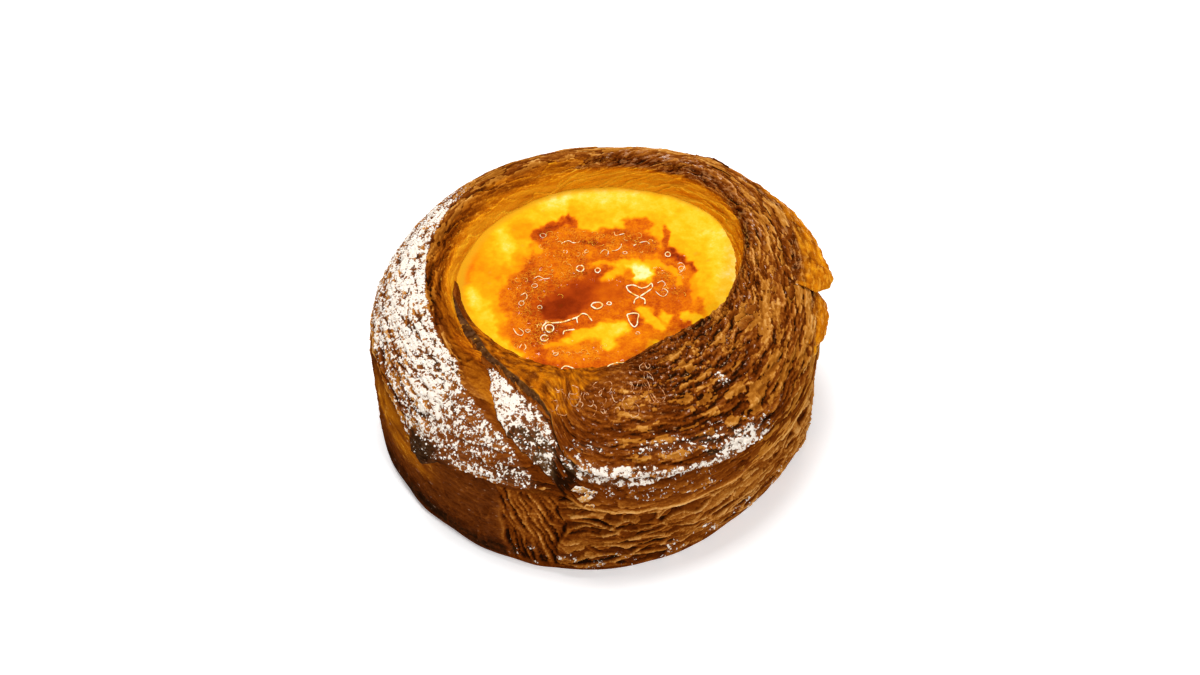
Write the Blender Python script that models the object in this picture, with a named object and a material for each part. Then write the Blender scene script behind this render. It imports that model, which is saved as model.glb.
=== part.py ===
"""A cheese tart: a strip of laminated dough wound into a ring, baked round a cheese filling.

Metres, +Z up. The tart stands on its base, and the origin is on the base under the middle of the drum.
Angles are in degrees: 0 is the right (+X), 90 the back (+Y), 180 the left and 270 the front (-Y).

The dough's form is one family of profiles. At each angle a smooth curve runs through seven stations:
the foot, the wall, the shoulder, the brow, the crest, the inner slope and the brim, where the filling begins.
The wound strip makes steps on that form. Its outer turn, the outer wrap, starts at the lip, which hangs over
the side wall. Its inner end, the front coil, starts at the left beside the filling and lies on the outer wrap
there, over a thin middle layer. It runs on round the front, the right and the back, where it becomes the wrap.
"""

import math

import bmesh
import bpy
from mathutils import Vector

MM = 0.001

# Each row holds eight values in millimetres, at angles 0, 45, 90 and so on to 315.
FOOT_RADIUS = (50.4, 50.6, 50.6, 50.8, 51.2, 50.6, 50.2, 47.2)
WALL_RADIUS = (50.6, 51.0, 51.0, 51.2, 51.4, 50.6, 49.4, 47.8)
SHOULDER_RADIUS = (50.4, 51.2, 50.4, 50.6, 52.4, 51.6, 49.8, 49.6)
SHOULDER_HEIGHT = (31.0, 35.0, 34.0, 32.0, 28.0, 26.0, 26.5, 26.5)
BROW_RADIUS = (45.4, 49.0, 47.6, 46.6, 46.6, 44.4, 43.0, 43.4)
BROW_HEIGHT = (38.2, 40.6, 40.0, 39.2, 37.4, 35.6, 34.2, 34.6)
CREST_RADIUS = (33.8, 43.2, 42.4, 41.0, 38.0, 34.4, 29.4, 24.2)
CREST_HEIGHT = (41.2, 43.0, 42.6, 42.4, 41.0, 39.2, 37.8, 38.6)
BRIM_RADIUS = (29.4, 40.2, 39.4, 35.6, 30.6, 23.0, 19.2, 18.8)
WALL_HEIGHT = 14.0
BRIM_HEIGHT = 33.4
CORE_HEIGHT = 24.0
FOOT_ROUND = 2.4

# Stations along a profile.
FOOT, WALL, SHOULDER, BROW, CREST, INNER, BRIM = range(7)

# The well that holds the filling.
WELL_FLOOR = 12.0
WELL_TAPER = 2.5
FLOOR_ROUND = 4.0
FILLING_GAP = 0.35
FILLING_EDGE = 0.9
FILLING_DOME = 0.7

# The strip's edges, as (angle, station) points that wind round the ring.
LIP = (
    (0, 1.74),
    (40, 1.85),
    (90, 1.9),
    (140, 1.95),
    (175, 2.05),
    (195, 2.12),
    (208, 2.1),
    (215, 2.02),
    (219.5, 1.5),
    (226, 1.75),
    (236, 1.96),
    (262, 2.02),
    (267, 1.74),
    (276, 1.57),
    (290, 1.45),
    (330, 1.5),
    (360, 1.74),
)
COIL_EDGE = (
    (120, 5.5),
    (166, 5.5),
    (190, 5.1),
    (208, 4.66),
    (219, 4.36),
    (232, 4.05),
    (248, 3.66),
    (254, 3.44),
    (262, 2.82),
    (266, 2.62),
    (285, 2.42),
    (300, 2.3),
    (320, 2.16),
    (340, 2.14),
    (360, 2.25),
    (420, 2.7),
    (480, 5.5),
)
# How much lower than the coil's edge the middle layer's edge lies.
MIDDLE_BELOW = (
    (150, 0.3),
    (192, 0.3),
    (222, 0.15),
    (228, 0.25),
    (240, 0.7),
    (252, 0.84),
    (268, 0.84),
    (480, 0.7),
)

# Past this angle the coil's edge has reached the lip, and the outer wrap no longer shows below it.
WRAP_HIDDEN_FROM = 266.0

# How far each layer stands over the form, in millimetres.
WALL_PROUD = -1.0
WRAP_PROUD = -0.4
MIDDLE_PROUD = 0.2
COIL_PROUD = 0.9
# How much of the coil's and the middle layer's step there is at each angle.
COIL_STEP = ((120, 0.0), (160, 0.0), (184, 1.0), (390, 1.0), (440, 0.4), (480, 0.0))
MIDDLE_STEP = ((190, 0.0), (202, 1.0), (262, 1.0), (272, 0.0))

# The side wall between the two ends of the strip, where its cut layers show.
CUT_END_FROM, CUT_END_TO = 243.0, 265.0
CUT_END_DEPTH = 1.2
CUT_END_SLOPE = 4.0

# A loose flap of the coil stands out at the right.
FLAP_ANGLE, FLAP_STATION = 13.0, 2.3
FLAP_WIDTH, FLAP_TALL = 30.0, 0.6
FLAP_PROUD = 5.4

RING_STEPS = 108
FILLING_STEPS = 60


def smooth(share):
    """0 below 0, 1 above 1 and an even slope between."""
    share = min(1.0, max(0.0, share))
    return share * share * (3 - 2 * share)


def through(before, start, end, after, share):
    """A Catmull-Rom curve's value between start and end."""
    a = 2 * start
    b = end - before
    c = 2 * before - 5 * start + 4 * end - after
    d = 3 * (start - end) + after - before
    return 0.5 * (a + b * share + c * share**2 + d * share**3)


def around(row, angle):
    """A row's value at an angle, smooth through its eight entries."""
    place = (angle % 360) / 45
    i = int(place)
    return through(*(row[(i + k) % 8] for k in (-1, 0, 1, 2)), place - i)


def along(points, x):
    """The value at x on straight lines between (x, value) points, level past both ends."""
    if x <= points[0][0]:
        return points[0][1]
    for (x0, v0), (x1, v1) in zip(points, points[1:]):
        if x <= x1:
            return v0 + (v1 - v0) * (x - x0) / (x1 - x0)
    return points[-1][1]


def wound(angle):
    """The angle along the coil, which starts at 120 degrees and ends a full turn later."""
    return 120 + (angle - 120) % 360


def profile(angle, station):
    """(radius, height) on the form's profile at an angle, in millimetres."""
    crest = Vector((around(CREST_RADIUS, angle), around(CREST_HEIGHT, angle)))
    brim = Vector((around(BRIM_RADIUS, angle), BRIM_HEIGHT))
    marks = (
        Vector((around(FOOT_RADIUS, angle), FOOT_ROUND)),
        Vector((around(WALL_RADIUS, angle), WALL_HEIGHT)),
        Vector((around(SHOULDER_RADIUS, angle), around(SHOULDER_HEIGHT, angle))),
        Vector((around(BROW_RADIUS, angle), around(BROW_HEIGHT, angle))),
        crest,
        crest.lerp(brim, 0.5) + Vector((-0.8, 0.7)),
        brim,
    )
    i = min(int(station), INNER)
    before = marks[i - 1] if i else marks[0] - (marks[1] - marks[0]) * 0.4
    after = marks[i + 2] if i + 2 < len(marks) else marks[-1] * 2 - marks[-2]
    return through(before, marks[i], marks[i + 1], after, station - i)


def polar(radius, angle, height):
    """A point in metres from millimetres and degrees."""
    turn = math.radians(angle)
    return Vector((radius * math.cos(turn), radius * math.sin(turn), height)) * MM


def form(angle, station, lift, out=0.0):
    """A point on the form, moved lift millimetres away from the ring's core and out from the axis."""
    here = profile(angle, station)
    core = (around(SHOULDER_RADIUS, angle) + around(BRIM_RADIUS, angle)) / 2
    outward = Vector((here.x - core, max(0.0, here.y - CORE_HEIGHT))).normalized()
    radius, height = here + lift * outward
    return polar(radius + out, angle, height)


def cut_end(angle):
    """How deep the side wall is set back where the strip's cut layers show."""
    into = smooth((angle - CUT_END_FROM) / CUT_END_SLOPE)
    out = smooth((CUT_END_TO - angle) / CUT_END_SLOPE)
    return CUT_END_DEPTH * min(into, out)


def flap(angle, station):
    """How far the loose flap at the right stands out."""
    aside = ((angle - FLAP_ANGLE + 180) % 360 - 180) / FLAP_WIDTH
    up = (station - FLAP_STATION) / FLAP_TALL
    return FLAP_PROUD * smooth(1 - math.hypot(aside, up))


def ring_path(angle):
    """The dough's outline at an angle from the foot to the brim, with a step at each of the strip's edges."""
    lip = along(LIP, angle)
    coil = max(lip + 0.3, along(COIL_EDGE, wound(angle)))
    middle = max(lip + 0.15, coil - along(MIDDLE_BELOW, wound(angle)))
    coil_share = along(COIL_STEP, wound(angle))
    middle_share = along(MIDDLE_STEP, angle)
    coil_top = WRAP_PROUD + (COIL_PROUD - WRAP_PROUD) * coil_share
    wrap = coil_top if wound(angle) > WRAP_HIDDEN_FROM else WRAP_PROUD
    middle_top = wrap + (MIDDLE_PROUD - wrap) * middle_share
    path = []

    def add(first, last, count, lift):
        for k in range(count):
            station = first + (last - first) * k / max(1, count - 1)
            near_brim = smooth((BRIM - station) / 0.6)
            path.append(form(angle, station, lift(station) * near_brim, flap(angle, station)))

    def wall(station):
        under_lip = smooth((station - 0.7) / (lip - 0.7))
        return WALL_PROUD * under_lip - cut_end(angle) * smooth((lip + 0.2 - station) / 0.2)

    add(0.0, lip, 6, wall)
    add(lip + 0.04, middle - 0.03, 9, lambda station: wrap)
    add(middle, coil - 0.03, 3, lambda station: middle_top)
    add(coil, 5.5, 8, lambda station: coil_top)
    add(5.75, BRIM, 2, lambda station: coil_top)
    return path


def well_radius(angle, height):
    """The well's radius at a height, which narrows a little towards the floor."""
    share = (BRIM_HEIGHT - height) / (BRIM_HEIGHT - WELL_FLOOR)
    return around(BRIM_RADIUS, angle) - WELL_TAPER * share


def turned(name, path_at, steps, material):
    """A closed solid whose path_at(angle) runs from one pole on the Z axis to the other."""
    shape = bmesh.new()
    paths = [path_at(360 * k / steps) for k in range(steps)]
    poles = (shape.verts.new(paths[0][0]), shape.verts.new(paths[0][-1]))
    rows = [[shape.verts.new(point) for point in path[1:-1]] for path in paths]
    for k in range(steps):
        here, ahead = rows[k], rows[(k + 1) % steps]
        shape.faces.new((poles[0], here[0], ahead[0]))
        for i in range(len(here) - 1):
            shape.faces.new((here[i], here[i + 1], ahead[i + 1], ahead[i]))
        shape.faces.new((poles[1], ahead[-1], here[-1]))
    if shape.calc_volume(signed=True) < 0:
        bmesh.ops.reverse_faces(shape, faces=shape.faces)
    mesh = bpy.data.meshes.new(name)
    shape.to_mesh(mesh)
    shape.free()
    mesh.shade_smooth()
    mesh.set_sharp_from_angle(angle=math.radians(50))
    mesh.materials.append(material)
    made = bpy.data.objects.new(name, mesh)
    bpy.context.scene.collection.objects.link(made)
    return made


def pastry_path(angle):
    """Base, side wall, ring and well of the dough."""
    foot = around(FOOT_RADIUS, angle) - cut_end(angle)
    path = [Vector((0, 0, 0)), polar(foot - FOOT_ROUND * 1.4, angle, 0)]
    path.append(polar(foot - FOOT_ROUND * 0.35, angle, FOOT_ROUND * 0.3))
    path += ring_path(angle)
    for height in (BRIM_HEIGHT - 1.5, WELL_FLOOR + FLOOR_ROUND):
        path.append(polar(well_radius(angle, height), angle, height))
    corner = well_radius(angle, WELL_FLOOR) - FLOOR_ROUND * 0.3
    path.append(polar(corner, angle, WELL_FLOOR + FLOOR_ROUND * 0.3))
    path.append(polar(corner - FLOOR_ROUND * 0.7, angle, WELL_FLOOR))
    path.append(Vector((0, 0, WELL_FLOOR * MM)))
    return path


def filling_path(angle):
    """The cheese filling: a plug in the well with a low dome on top."""
    low = WELL_FLOOR + FILLING_GAP
    corner = well_radius(angle, WELL_FLOOR) - FILLING_GAP
    path = [Vector((0, 0, low * MM)), polar(corner - FLOOR_ROUND, angle, low)]
    path.append(polar(corner - FLOOR_ROUND * 0.3, angle, low + FLOOR_ROUND * 0.3))
    for height in (WELL_FLOOR + FLOOR_ROUND, BRIM_HEIGHT - FILLING_EDGE):
        path.append(polar(well_radius(angle, height) - FILLING_GAP, angle, height))
    rim = well_radius(angle, BRIM_HEIGHT) - FILLING_GAP
    path.append(polar(rim - FILLING_EDGE, angle, BRIM_HEIGHT))
    for share in (0.8, 0.55, 0.3):
        path.append(polar(rim * share, angle, BRIM_HEIGHT + FILLING_DOME * (1 - share**2)))
    path.append(Vector((0, 0, (BRIM_HEIGHT + FILLING_DOME) * MM)))
    return path


def finish(name, colour, roughness):
    """A baked surface's material."""
    made = bpy.data.materials.new(name)
    made.use_nodes = True
    shader = made.node_tree.nodes["Principled BSDF"]
    shader.inputs["Base Color"].default_value = (*colour, 1.0)
    shader.inputs["Roughness"].default_value = roughness
    shader.inputs["Metallic"].default_value = 0.0
    return made


def main():
    for existing in list(bpy.data.objects):
        bpy.data.objects.remove(existing)
    turned("pastry", pastry_path, RING_STEPS, finish("baked_crust", (0.27, 0.085, 0.02), 0.35))
    turned("cheese_filling", filling_path, FILLING_STEPS, finish("baked_cheese", (0.89, 0.50, 0.03), 0.25))


main()
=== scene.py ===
"""A cheese tart: a strip of flaky dough wound into a ring, a caramelised cheese filling and icing sugar.

Lengths are in millimetres until a mesh is made, and angles are in degrees: 0 is the right (+X), 90 the back
(+Y), 180 the left and 270 the front (-Y). A place on the dough is an angle and a station. The stations are
0 at the foot, 1 on the wall, 2 the shoulder, 3 the brow, 4 the crest, 5 the inner slope and 6 the brim.
The coil's own angle runs on past 360, because the strip is wound more than once round.
"""

import math

import bpy
import numpy as np
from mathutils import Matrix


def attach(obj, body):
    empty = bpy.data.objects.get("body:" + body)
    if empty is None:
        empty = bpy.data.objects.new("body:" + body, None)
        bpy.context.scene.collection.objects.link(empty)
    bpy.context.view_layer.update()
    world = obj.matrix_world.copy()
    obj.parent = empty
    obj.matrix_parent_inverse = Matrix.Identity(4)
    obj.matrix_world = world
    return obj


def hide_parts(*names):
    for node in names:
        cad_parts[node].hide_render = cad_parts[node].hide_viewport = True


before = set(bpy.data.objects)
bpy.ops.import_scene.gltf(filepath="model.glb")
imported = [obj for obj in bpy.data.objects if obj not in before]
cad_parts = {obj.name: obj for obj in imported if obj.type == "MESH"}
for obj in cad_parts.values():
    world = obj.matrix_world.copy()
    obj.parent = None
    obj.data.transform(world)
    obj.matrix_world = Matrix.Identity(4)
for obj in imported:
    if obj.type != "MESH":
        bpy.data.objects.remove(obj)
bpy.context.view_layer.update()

MM = 0.001
DEGREE = math.pi / 180

# ---- The dough's form. Each row holds eight values, at angles 0, 45, 90 and so on to 315.
FOOT_RADIUS = (50.4, 50.6, 50.6, 50.8, 51.2, 50.6, 50.2, 47.2)
WALL_RADIUS = (50.6, 51.0, 51.0, 51.2, 51.4, 50.6, 49.4, 47.8)
SHOULDER_RADIUS = (50.4, 51.2, 50.4, 50.6, 52.4, 51.6, 49.8, 49.6)
SHOULDER_HEIGHT = (31.0, 35.0, 34.0, 32.0, 28.0, 26.0, 26.5, 26.5)
BROW_RADIUS = (45.4, 49.0, 47.6, 46.6, 46.6, 44.4, 43.0, 43.4)
BROW_HEIGHT = (38.2, 40.6, 40.0, 39.2, 37.4, 35.6, 34.2, 34.6)
CREST_RADIUS = (33.8, 43.2, 42.4, 41.0, 38.0, 34.4, 29.4, 24.2)
CREST_HEIGHT = (41.2, 43.0, 42.6, 42.4, 41.0, 39.2, 37.8, 38.6)
BRIM_RADIUS = (29.4, 40.2, 39.4, 35.6, 30.6, 23.0, 19.2, 18.8)
WALL_HEIGHT = 14.0
BRIM_HEIGHT = 33.4
CORE_HEIGHT = 24.0
FOOT_ROUND = 2.4
WELL_FLOOR = 12.0
# The radius at which a length along the strip is counted.
STRIP_RADIUS = 43.0
# The station, just past the brim, at which the coil and the outer wrap end.
STRIP_END = 6.12
# The table of lengths along the profiles: its last station, its steps to there and its angles.
LAST_STATION = 6.2
RUN_STEPS = 124
RUN_ANGLES = 72
# The places along one profile at which its length is measured to space the rows evenly.
FINE_STEPS = 120

# The strip's edges as (angle, station) points.
OUTER_LIP = (
    (90, 1.9), (140, 1.95), (175, 2.05), (195, 2.12), (208, 2.1), (214, 2.0), (216.8, 1.78), (218.6, 1.54),
    (220.4, 1.42), (222.4, 1.48), (225, 1.66), (229, 1.84), (236, 1.96), (248, 2.0), (259, 2.02),
    (264, 2.0),
)
MIDDLE_EDGE = (
    (200, 4.85), (222, 4.2), (228, 3.9), (234, 3.5), (240, 3.16), (246, 2.9), (252, 2.68), (258, 2.36),
    (262, 2.02), (267, 1.74), (276, 1.57), (290, 1.45), (330, 1.5), (360, 1.74), (400, 1.85), (450, 1.9),
)
COIL_EDGE = (
    (166, 5.62), (190, 5.1), (208, 4.66), (219, 4.36), (226, 4.2), (232, 4.05), (240, 3.86), (248, 3.66),
    (254, 3.44), (258, 3.12), (262, 2.82), (266, 2.62), (272, 2.5), (285, 2.42), (300, 2.3), (320, 2.16),
    (340, 2.14), (360, 2.25), (420, 2.7), (480, 5.5),
)
# The station at which the wall meets the lip above it, round the whole drum.
WALL_TOP = (
    (0, 1.74), (40, 1.85), (90, 1.9), (140, 1.95), (175, 2.05), (195, 2.12), (215, 2.02), (222, 2.0),
    (262, 2.02), (267, 1.74), (276, 1.57), (290, 1.45), (330, 1.5), (360, 1.74),
)


def smooth(share):
    """0 below 0, 1 above 1 and an even slope between."""
    share = np.clip(share, 0.0, 1.0)
    return share * share * (3 - 2 * share)


def rise(x, start, length):
    """0 before start, 1 from a length past it."""
    return smooth((x - start) / length)


def fall(x, end, length):
    """1 until a length before end, 0 after it."""
    return smooth((end - x) / length)


def hump(x, middle, width):
    """A bell curve, 1 in the middle."""
    return np.exp(-(((x - middle) / width) ** 2))


def within(x, low, high, soft):
    """1 between low and high, falling to 0 over a soft margin outside them."""
    return smooth((x - low) / soft + 1) * smooth((high - x) / soft + 1)


def along(points, x):
    """The value at x on straight lines between (x, value) points."""
    places, values = zip(*points)
    return np.interp(x, places, values)


def through(before, start, end, after, share):
    """A Catmull-Rom curve's value between start and end."""
    a = 2 * start
    b = end - before
    c = 2 * before - 5 * start + 4 * end - after
    d = 3 * (start - end) + after - before
    return 0.5 * (a + b * share + c * share**2 + d * share**3)


def around(row, angle):
    """A row's value at an angle, smooth through its eight entries."""
    row = np.asarray(row)
    place = np.mod(angle, 360) / 45
    i = np.floor(place).astype(int)
    return through(row[(i - 1) % 8], row[i % 8], row[(i + 1) % 8], row[(i + 2) % 8], place - i)


def profile(angle, station):
    """Radius and height on the form's profile at each angle and station."""
    crest = np.stack([around(CREST_RADIUS, angle), around(CREST_HEIGHT, angle)])
    brim = np.stack([around(BRIM_RADIUS, angle), np.full_like(angle, BRIM_HEIGHT)])
    inner = (crest + brim) / 2 + np.array([-0.8, 0.7]).reshape((2,) + (1,) * angle.ndim)
    foot = np.stack([around(FOOT_RADIUS, angle), np.full_like(angle, FOOT_ROUND)])
    wall = np.stack([around(WALL_RADIUS, angle), np.full_like(angle, WALL_HEIGHT)])
    shoulder = np.stack([around(SHOULDER_RADIUS, angle), around(SHOULDER_HEIGHT, angle)])
    brow = np.stack([around(BROW_RADIUS, angle), around(BROW_HEIGHT, angle)])
    below = foot - (wall - foot) * 0.4
    beyond = 2 * brim - inner
    marks = np.stack([below, foot, wall, shoulder, brow, crest, inner, brim, beyond])
    i = np.clip(np.floor(station).astype(int), 0, 5)

    def mark(step):
        return np.take_along_axis(marks, (i + step)[None, None], axis=0)[0]

    radius, height = through(mark(0), mark(1), mark(2), mark(3), station - i)
    return radius, height


def form(angle, station, lift):
    """Points on the form, moved lift away from the ring's core."""
    radius, height = profile(angle, station)
    core = (around(SHOULDER_RADIUS, angle) + around(BRIM_RADIUS, angle)) / 2
    aside = radius - core
    up = np.maximum(0.0, height - CORE_HEIGHT)
    reach = np.hypot(aside, up)
    radius = radius + lift * aside / reach
    height = height + lift * up / reach
    return np.stack([radius * np.cos(angle * DEGREE), radius * np.sin(angle * DEGREE), height], axis=-1)


# ---- Uneven surfaces, always the same for the same seed.
def scatter(i, j, seed):
    """An even value from 0 to 1 for each pair of whole numbers."""
    h = i.astype(np.int64) * 374761393 + j.astype(np.int64) * 668265263 + seed * 974634777
    h = (h ^ (h >> 13)) & 0xFFFFFFFF
    h = (h * 1274126177) & 0xFFFFFFFF
    h = ((h ^ (h >> 16)) * 2246822519) & 0xFFFFFFFF
    return (h ^ (h >> 15)) / 0xFFFFFFFF


def waves(x, y, seed, period=0):
    """Smooth gradient noise from about -1 to 1. A period makes it repeat along x."""
    i, j = np.floor(x), np.floor(y)
    fx, fy = x - i, y - j

    def corner(dx, dy):
        column = i + dx
        if period:
            column = np.mod(column, period)
        turn = scatter(column, j + dy, seed) * 2 * math.pi
        return np.cos(turn) * (fx - dx) + np.sin(turn) * (fy - dy)

    sx = fx**3 * (fx * (fx * 6 - 15) + 10)
    sy = fy**3 * (fy * (fy * 6 - 15) + 10)
    low = corner(0, 0) * (1 - sx) + corner(1, 0) * sx
    high = corner(0, 1) * (1 - sx) + corner(1, 1) * sx
    return (low * (1 - sy) + high * sy) * 1.5


def rough(x, y, seed, octaves=3, period=0):
    """Several sizes of waves added up."""
    total = np.zeros_like(x)
    for k in range(octaves):
        total += waves(x * 2**k, y * 2**k, seed + 31 * k, period * 2**k) / 2**k
    return total / 1.6


# ---- Meshes from grids.
def shaped_grid(name, points, notes, wrap_rows=False, wrap_columns=False, caps=False):
    """A grid moved to points, an array of columns by rows by 3, with one float attribute for each note."""
    columns, rows = points.shape[:2]
    bpy.ops.object.select_all(action="DESELECT")
    bpy.ops.mesh.primitive_grid_add(x_subdivisions=columns - 1, y_subdivisions=rows - 1, size=1)
    piece = bpy.context.object
    piece.name = name
    piece.data.name = name
    mesh = piece.data
    flat = np.empty(len(mesh.vertices) * 3)
    mesh.vertices.foreach_get("co", flat)
    flat = flat.reshape(-1, 3)
    column = np.rint((flat[:, 0] + 0.5) * (columns - 1)).astype(int)
    row = np.rint((flat[:, 1] + 0.5) * (rows - 1)).astype(int)
    mesh.vertices.foreach_set("co", (points[column, row] * MM).ravel())
    for key, values in notes.items():
        values = np.asarray(values)
        if values.ndim == 3:
            layer = mesh.attributes.new(key, "FLOAT_VECTOR", "POINT")
            layer.data.foreach_set("vector", values[column, row].ravel())
        else:
            layer = mesh.attributes.new(key, "FLOAT", "POINT")
            layer.data.foreach_set("value", values[column, row].ravel())
    if wrap_rows or wrap_columns or caps:
        bpy.ops.object.mode_set(mode="EDIT")
        bpy.ops.mesh.select_all(action="SELECT")
        bpy.ops.mesh.remove_doubles(threshold=0.0000005)
        if caps:
            bpy.ops.mesh.select_all(action="DESELECT")
            bpy.ops.mesh.select_mode(type="EDGE")
            bpy.ops.mesh.select_non_manifold()
            bpy.ops.mesh.fill_holes(sides=0)
        bpy.ops.object.mode_set(mode="OBJECT")
    point_outwards(piece)
    mesh.shade_smooth()
    return piece


def point_outwards(piece):
    """Turns the faces over when the enclosed volume comes out negative."""
    mesh = piece.data
    mesh.calc_loop_triangles()
    corners = np.empty(len(mesh.loop_triangles) * 3, dtype=np.int32)
    mesh.loop_triangles.foreach_get("vertices", corners)
    places = np.empty(len(mesh.vertices) * 3)
    mesh.vertices.foreach_get("co", places)
    a, b, c = places.reshape(-1, 3)[corners.reshape(-1, 3)].transpose(1, 0, 2)
    if np.einsum("ij,ij->i", a, np.cross(b, c)).sum() < 0:
        mesh.flip_normals()


def even_stations(angle, low, high, count):
    """Stations from low to high, evenly spaced by length along each angle's profile."""
    fine = np.linspace(0, 1, FINE_STEPS)
    stations = low[:, None] + (high - low)[:, None] * fine
    radius, height = profile(np.repeat(angle[:, None], fine.size, axis=1), stations)
    length = np.hypot(np.diff(radius, axis=1), np.diff(height, axis=1)).cumsum(axis=1)
    length = np.concatenate([np.zeros((angle.size, 1)), length], axis=1)
    shares = np.linspace(0, 1, count)
    spaced = [np.interp(shares * run[-1], run, line) for run, line in zip(length, stations)]
    return np.array(spaced), shares * length[:, -1:]


def length_between(angle, low, high):
    """The length along each angle's profile from one station to another, negative when high is below low."""
    fine = np.linspace(0, LAST_STATION, RUN_STEPS + 1)
    marks = np.linspace(0, 360, RUN_ANGLES + 1)
    angles, stations = np.meshgrid(marks, fine, indexing="ij")
    radius, height = profile(angles, stations)
    run = np.hypot(np.diff(radius, axis=1), np.diff(height, axis=1)).cumsum(axis=1)
    run = np.concatenate([np.zeros((marks.size, 1)), run], axis=1)

    def length(station):
        row = np.mod(angle, 360) / (360 / RUN_ANGLES)
        column = np.clip(station / LAST_STATION * RUN_STEPS, 0, RUN_STEPS - 0.001)
        i, j = row.astype(int), column.astype(int)
        fi, fj = row - i, column - j
        near = run[i, j] * (1 - fj) + run[i, j + 1] * fj
        far = run[i + 1, j] * (1 - fj) + run[i + 1, j + 1] * fj
        return near * (1 - fi) + far * fi

    return length(high) - length(low)


def softened(values, columns, rows):
    """Values of a grid averaged over a box this many steps to each side."""
    for axis, reach in ((0, columns), (1, rows)):
        padded = np.concatenate(
            [np.repeat(values.take([0], axis=axis), reach + 1, axis=axis), values,
             np.repeat(values.take([-1], axis=axis), reach, axis=axis)], axis=axis)
        total = padded.cumsum(axis=axis)
        count = values.shape[axis]
        width = 2 * reach + 1
        ahead = total.take(range(width, width + count), axis=axis)
        behind = total.take(range(count), axis=axis)
        values = (ahead - behind) / width
    return values


# ---- Where the icing sugar lies, how the layers run, and how dark the bake and its painted shading are.
# (angle, station) points along the upper and the lower edge of the sugar on the outer wrap.
SUGAR_TOP = (
    (112, 3.4), (130, 3.62), (150, 3.84), (175, 3.98), (200, 3.9), (214, 3.82), (222, 3.5), (232, 3.34),
    (244, 2.98), (252, 2.5), (258, 2.2),
)
SUGAR_BOTTOM = (
    (112, 3.1), (135, 2.2), (160, 1.9), (180, 2.0), (200, 2.14), (214, 1.9), (219, 1.4), (224, 1.6),
    (230, 1.74), (240, 1.82), (258, 1.9),
)


def sugar_on_wrap(angle, station):
    """How thick the sugar lies on the outer wrap, from 0 to 1."""
    top = along(SUGAR_TOP, angle)
    bottom = along(SUGAR_BOTTOM, angle)
    inside = smooth((top - station) / 0.12) * smooth((station - bottom) / 0.3)
    left_side = within(angle, 150, 214, 16)
    thick = 0.52 + 0.38 * smooth((station - bottom - 0.55) / 0.5) * left_side
    thick = thick - 0.04 * within(angle, 226, 250, 8) * (1 + rise(station, 2.3, 0.3))
    thick = thick + 0.16 * waves(angle / 16, station / 0.45, 700)
    thick = thick + 0.1 * waves(angle / 4.5, station / 0.3, 701)
    return inside * thick * rise(angle, 126, 20) * fall(angle, 258, 7)


def sugar_on_middle(angle, station):
    """How thick the sugar lies on the middle layer."""
    low = along(MIDDLE_EDGE, angle)
    high = along(COIL_EDGE, angle)
    inside = smooth((station - low + 0.05) / 0.08) * smooth((high - station + 0.04) / 0.1)
    patch = inside * within(angle, 227, 257, 4) * (0.78 - 0.16 * rise(angle, 241, 8))
    patch = patch * (1 + 0.3 * waves(angle / 3, station / 0.25, 715))
    left_part = fall(angle, 289, 6)
    ledge = within(station, high - 0.06 - 0.14 * left_part, high + 0.2, 0.05) * within(angle, 262, 318, 5)
    low_specks = within(station, high - 0.55, high, 0.1) * within(angle, 262, 300, 6) * 0.14
    uneven = 0.74 + 0.4 * waves(angle / 2.1, station * 3, 712) + 0.25 * waves(angle / 0.9, station * 6, 713)
    return np.maximum(patch, np.maximum(ledge * 0.85 * uneven, low_specks))


def sugar_on_coil(angle, station):
    """How thick the sugar lies on the front coil: a line along its edge and a few specks above."""
    edge = along(COIL_EDGE, angle)
    ragged = 0.05 * waves(angle / 2.6, station * 0, 710) + 0.03 * waves(angle / 1.1, station * 0, 711)
    uneven = 0.78 + 0.4 * waves(angle / 2.1, station * 3, 712) + 0.3 * waves(angle / 0.9, station * 6, 713)
    left_part = fall(angle, 289, 6)
    line = within(station, edge - 0.1, edge + 0.1 + 0.1 * left_part + ragged, 0.06)
    line = line * within(angle, 266, 318, 3)
    line = 0.85 * line * uneven
    swell = hump(angle, 309, 8.0) * hump(station, 2.45, 0.26) * 1.05
    specks = hump(angle, 288, 9.0) * hump(station, 2.95, 0.16) * 0.4
    specks += hump(angle, 268, 7.0) * hump(station, 3.05, 0.14) * 0.36
    specks += hump(angle, 303, 8.0) * hump(station, 2.8, 0.16) * 0.42
    specks += hump(angle, 318, 2.0) * hump(station, 3.36, 0.07) * 0.8
    return np.clip(np.maximum(line, np.maximum(swell, specks)), 0, 1)


def cells(x, y, seed, period=0):
    """Scattered centres: the gap between the nearest two, the nearest one's chance and its lean."""
    i, j = np.floor(x), np.floor(y)
    best = np.full(x.shape, 9.0)
    second = np.full(x.shape, 9.0)
    chance = np.zeros(x.shape)
    across = np.zeros(x.shape)
    for di in (-1, 0, 1):
        for dj in (-1, 0, 1):
            column = np.mod(i + di, period) if period else i + di
            row = j + dj
            dx = x - i - di - 0.5 - 0.9 * (scatter(column, row, seed) - 0.5)
            dy = y - row - 0.5 - 0.9 * (scatter(column, row, seed + 1) - 0.5)
            distance = np.hypot(dx, dy)
            closer = distance < best
            second = np.where(closer, best, np.minimum(second, distance))
            chance = np.where(closer, scatter(column, row, seed + 2), chance)
            across = np.where(closer, dy, across)
            best = np.minimum(best, distance)
    return second - best, chance, across


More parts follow.
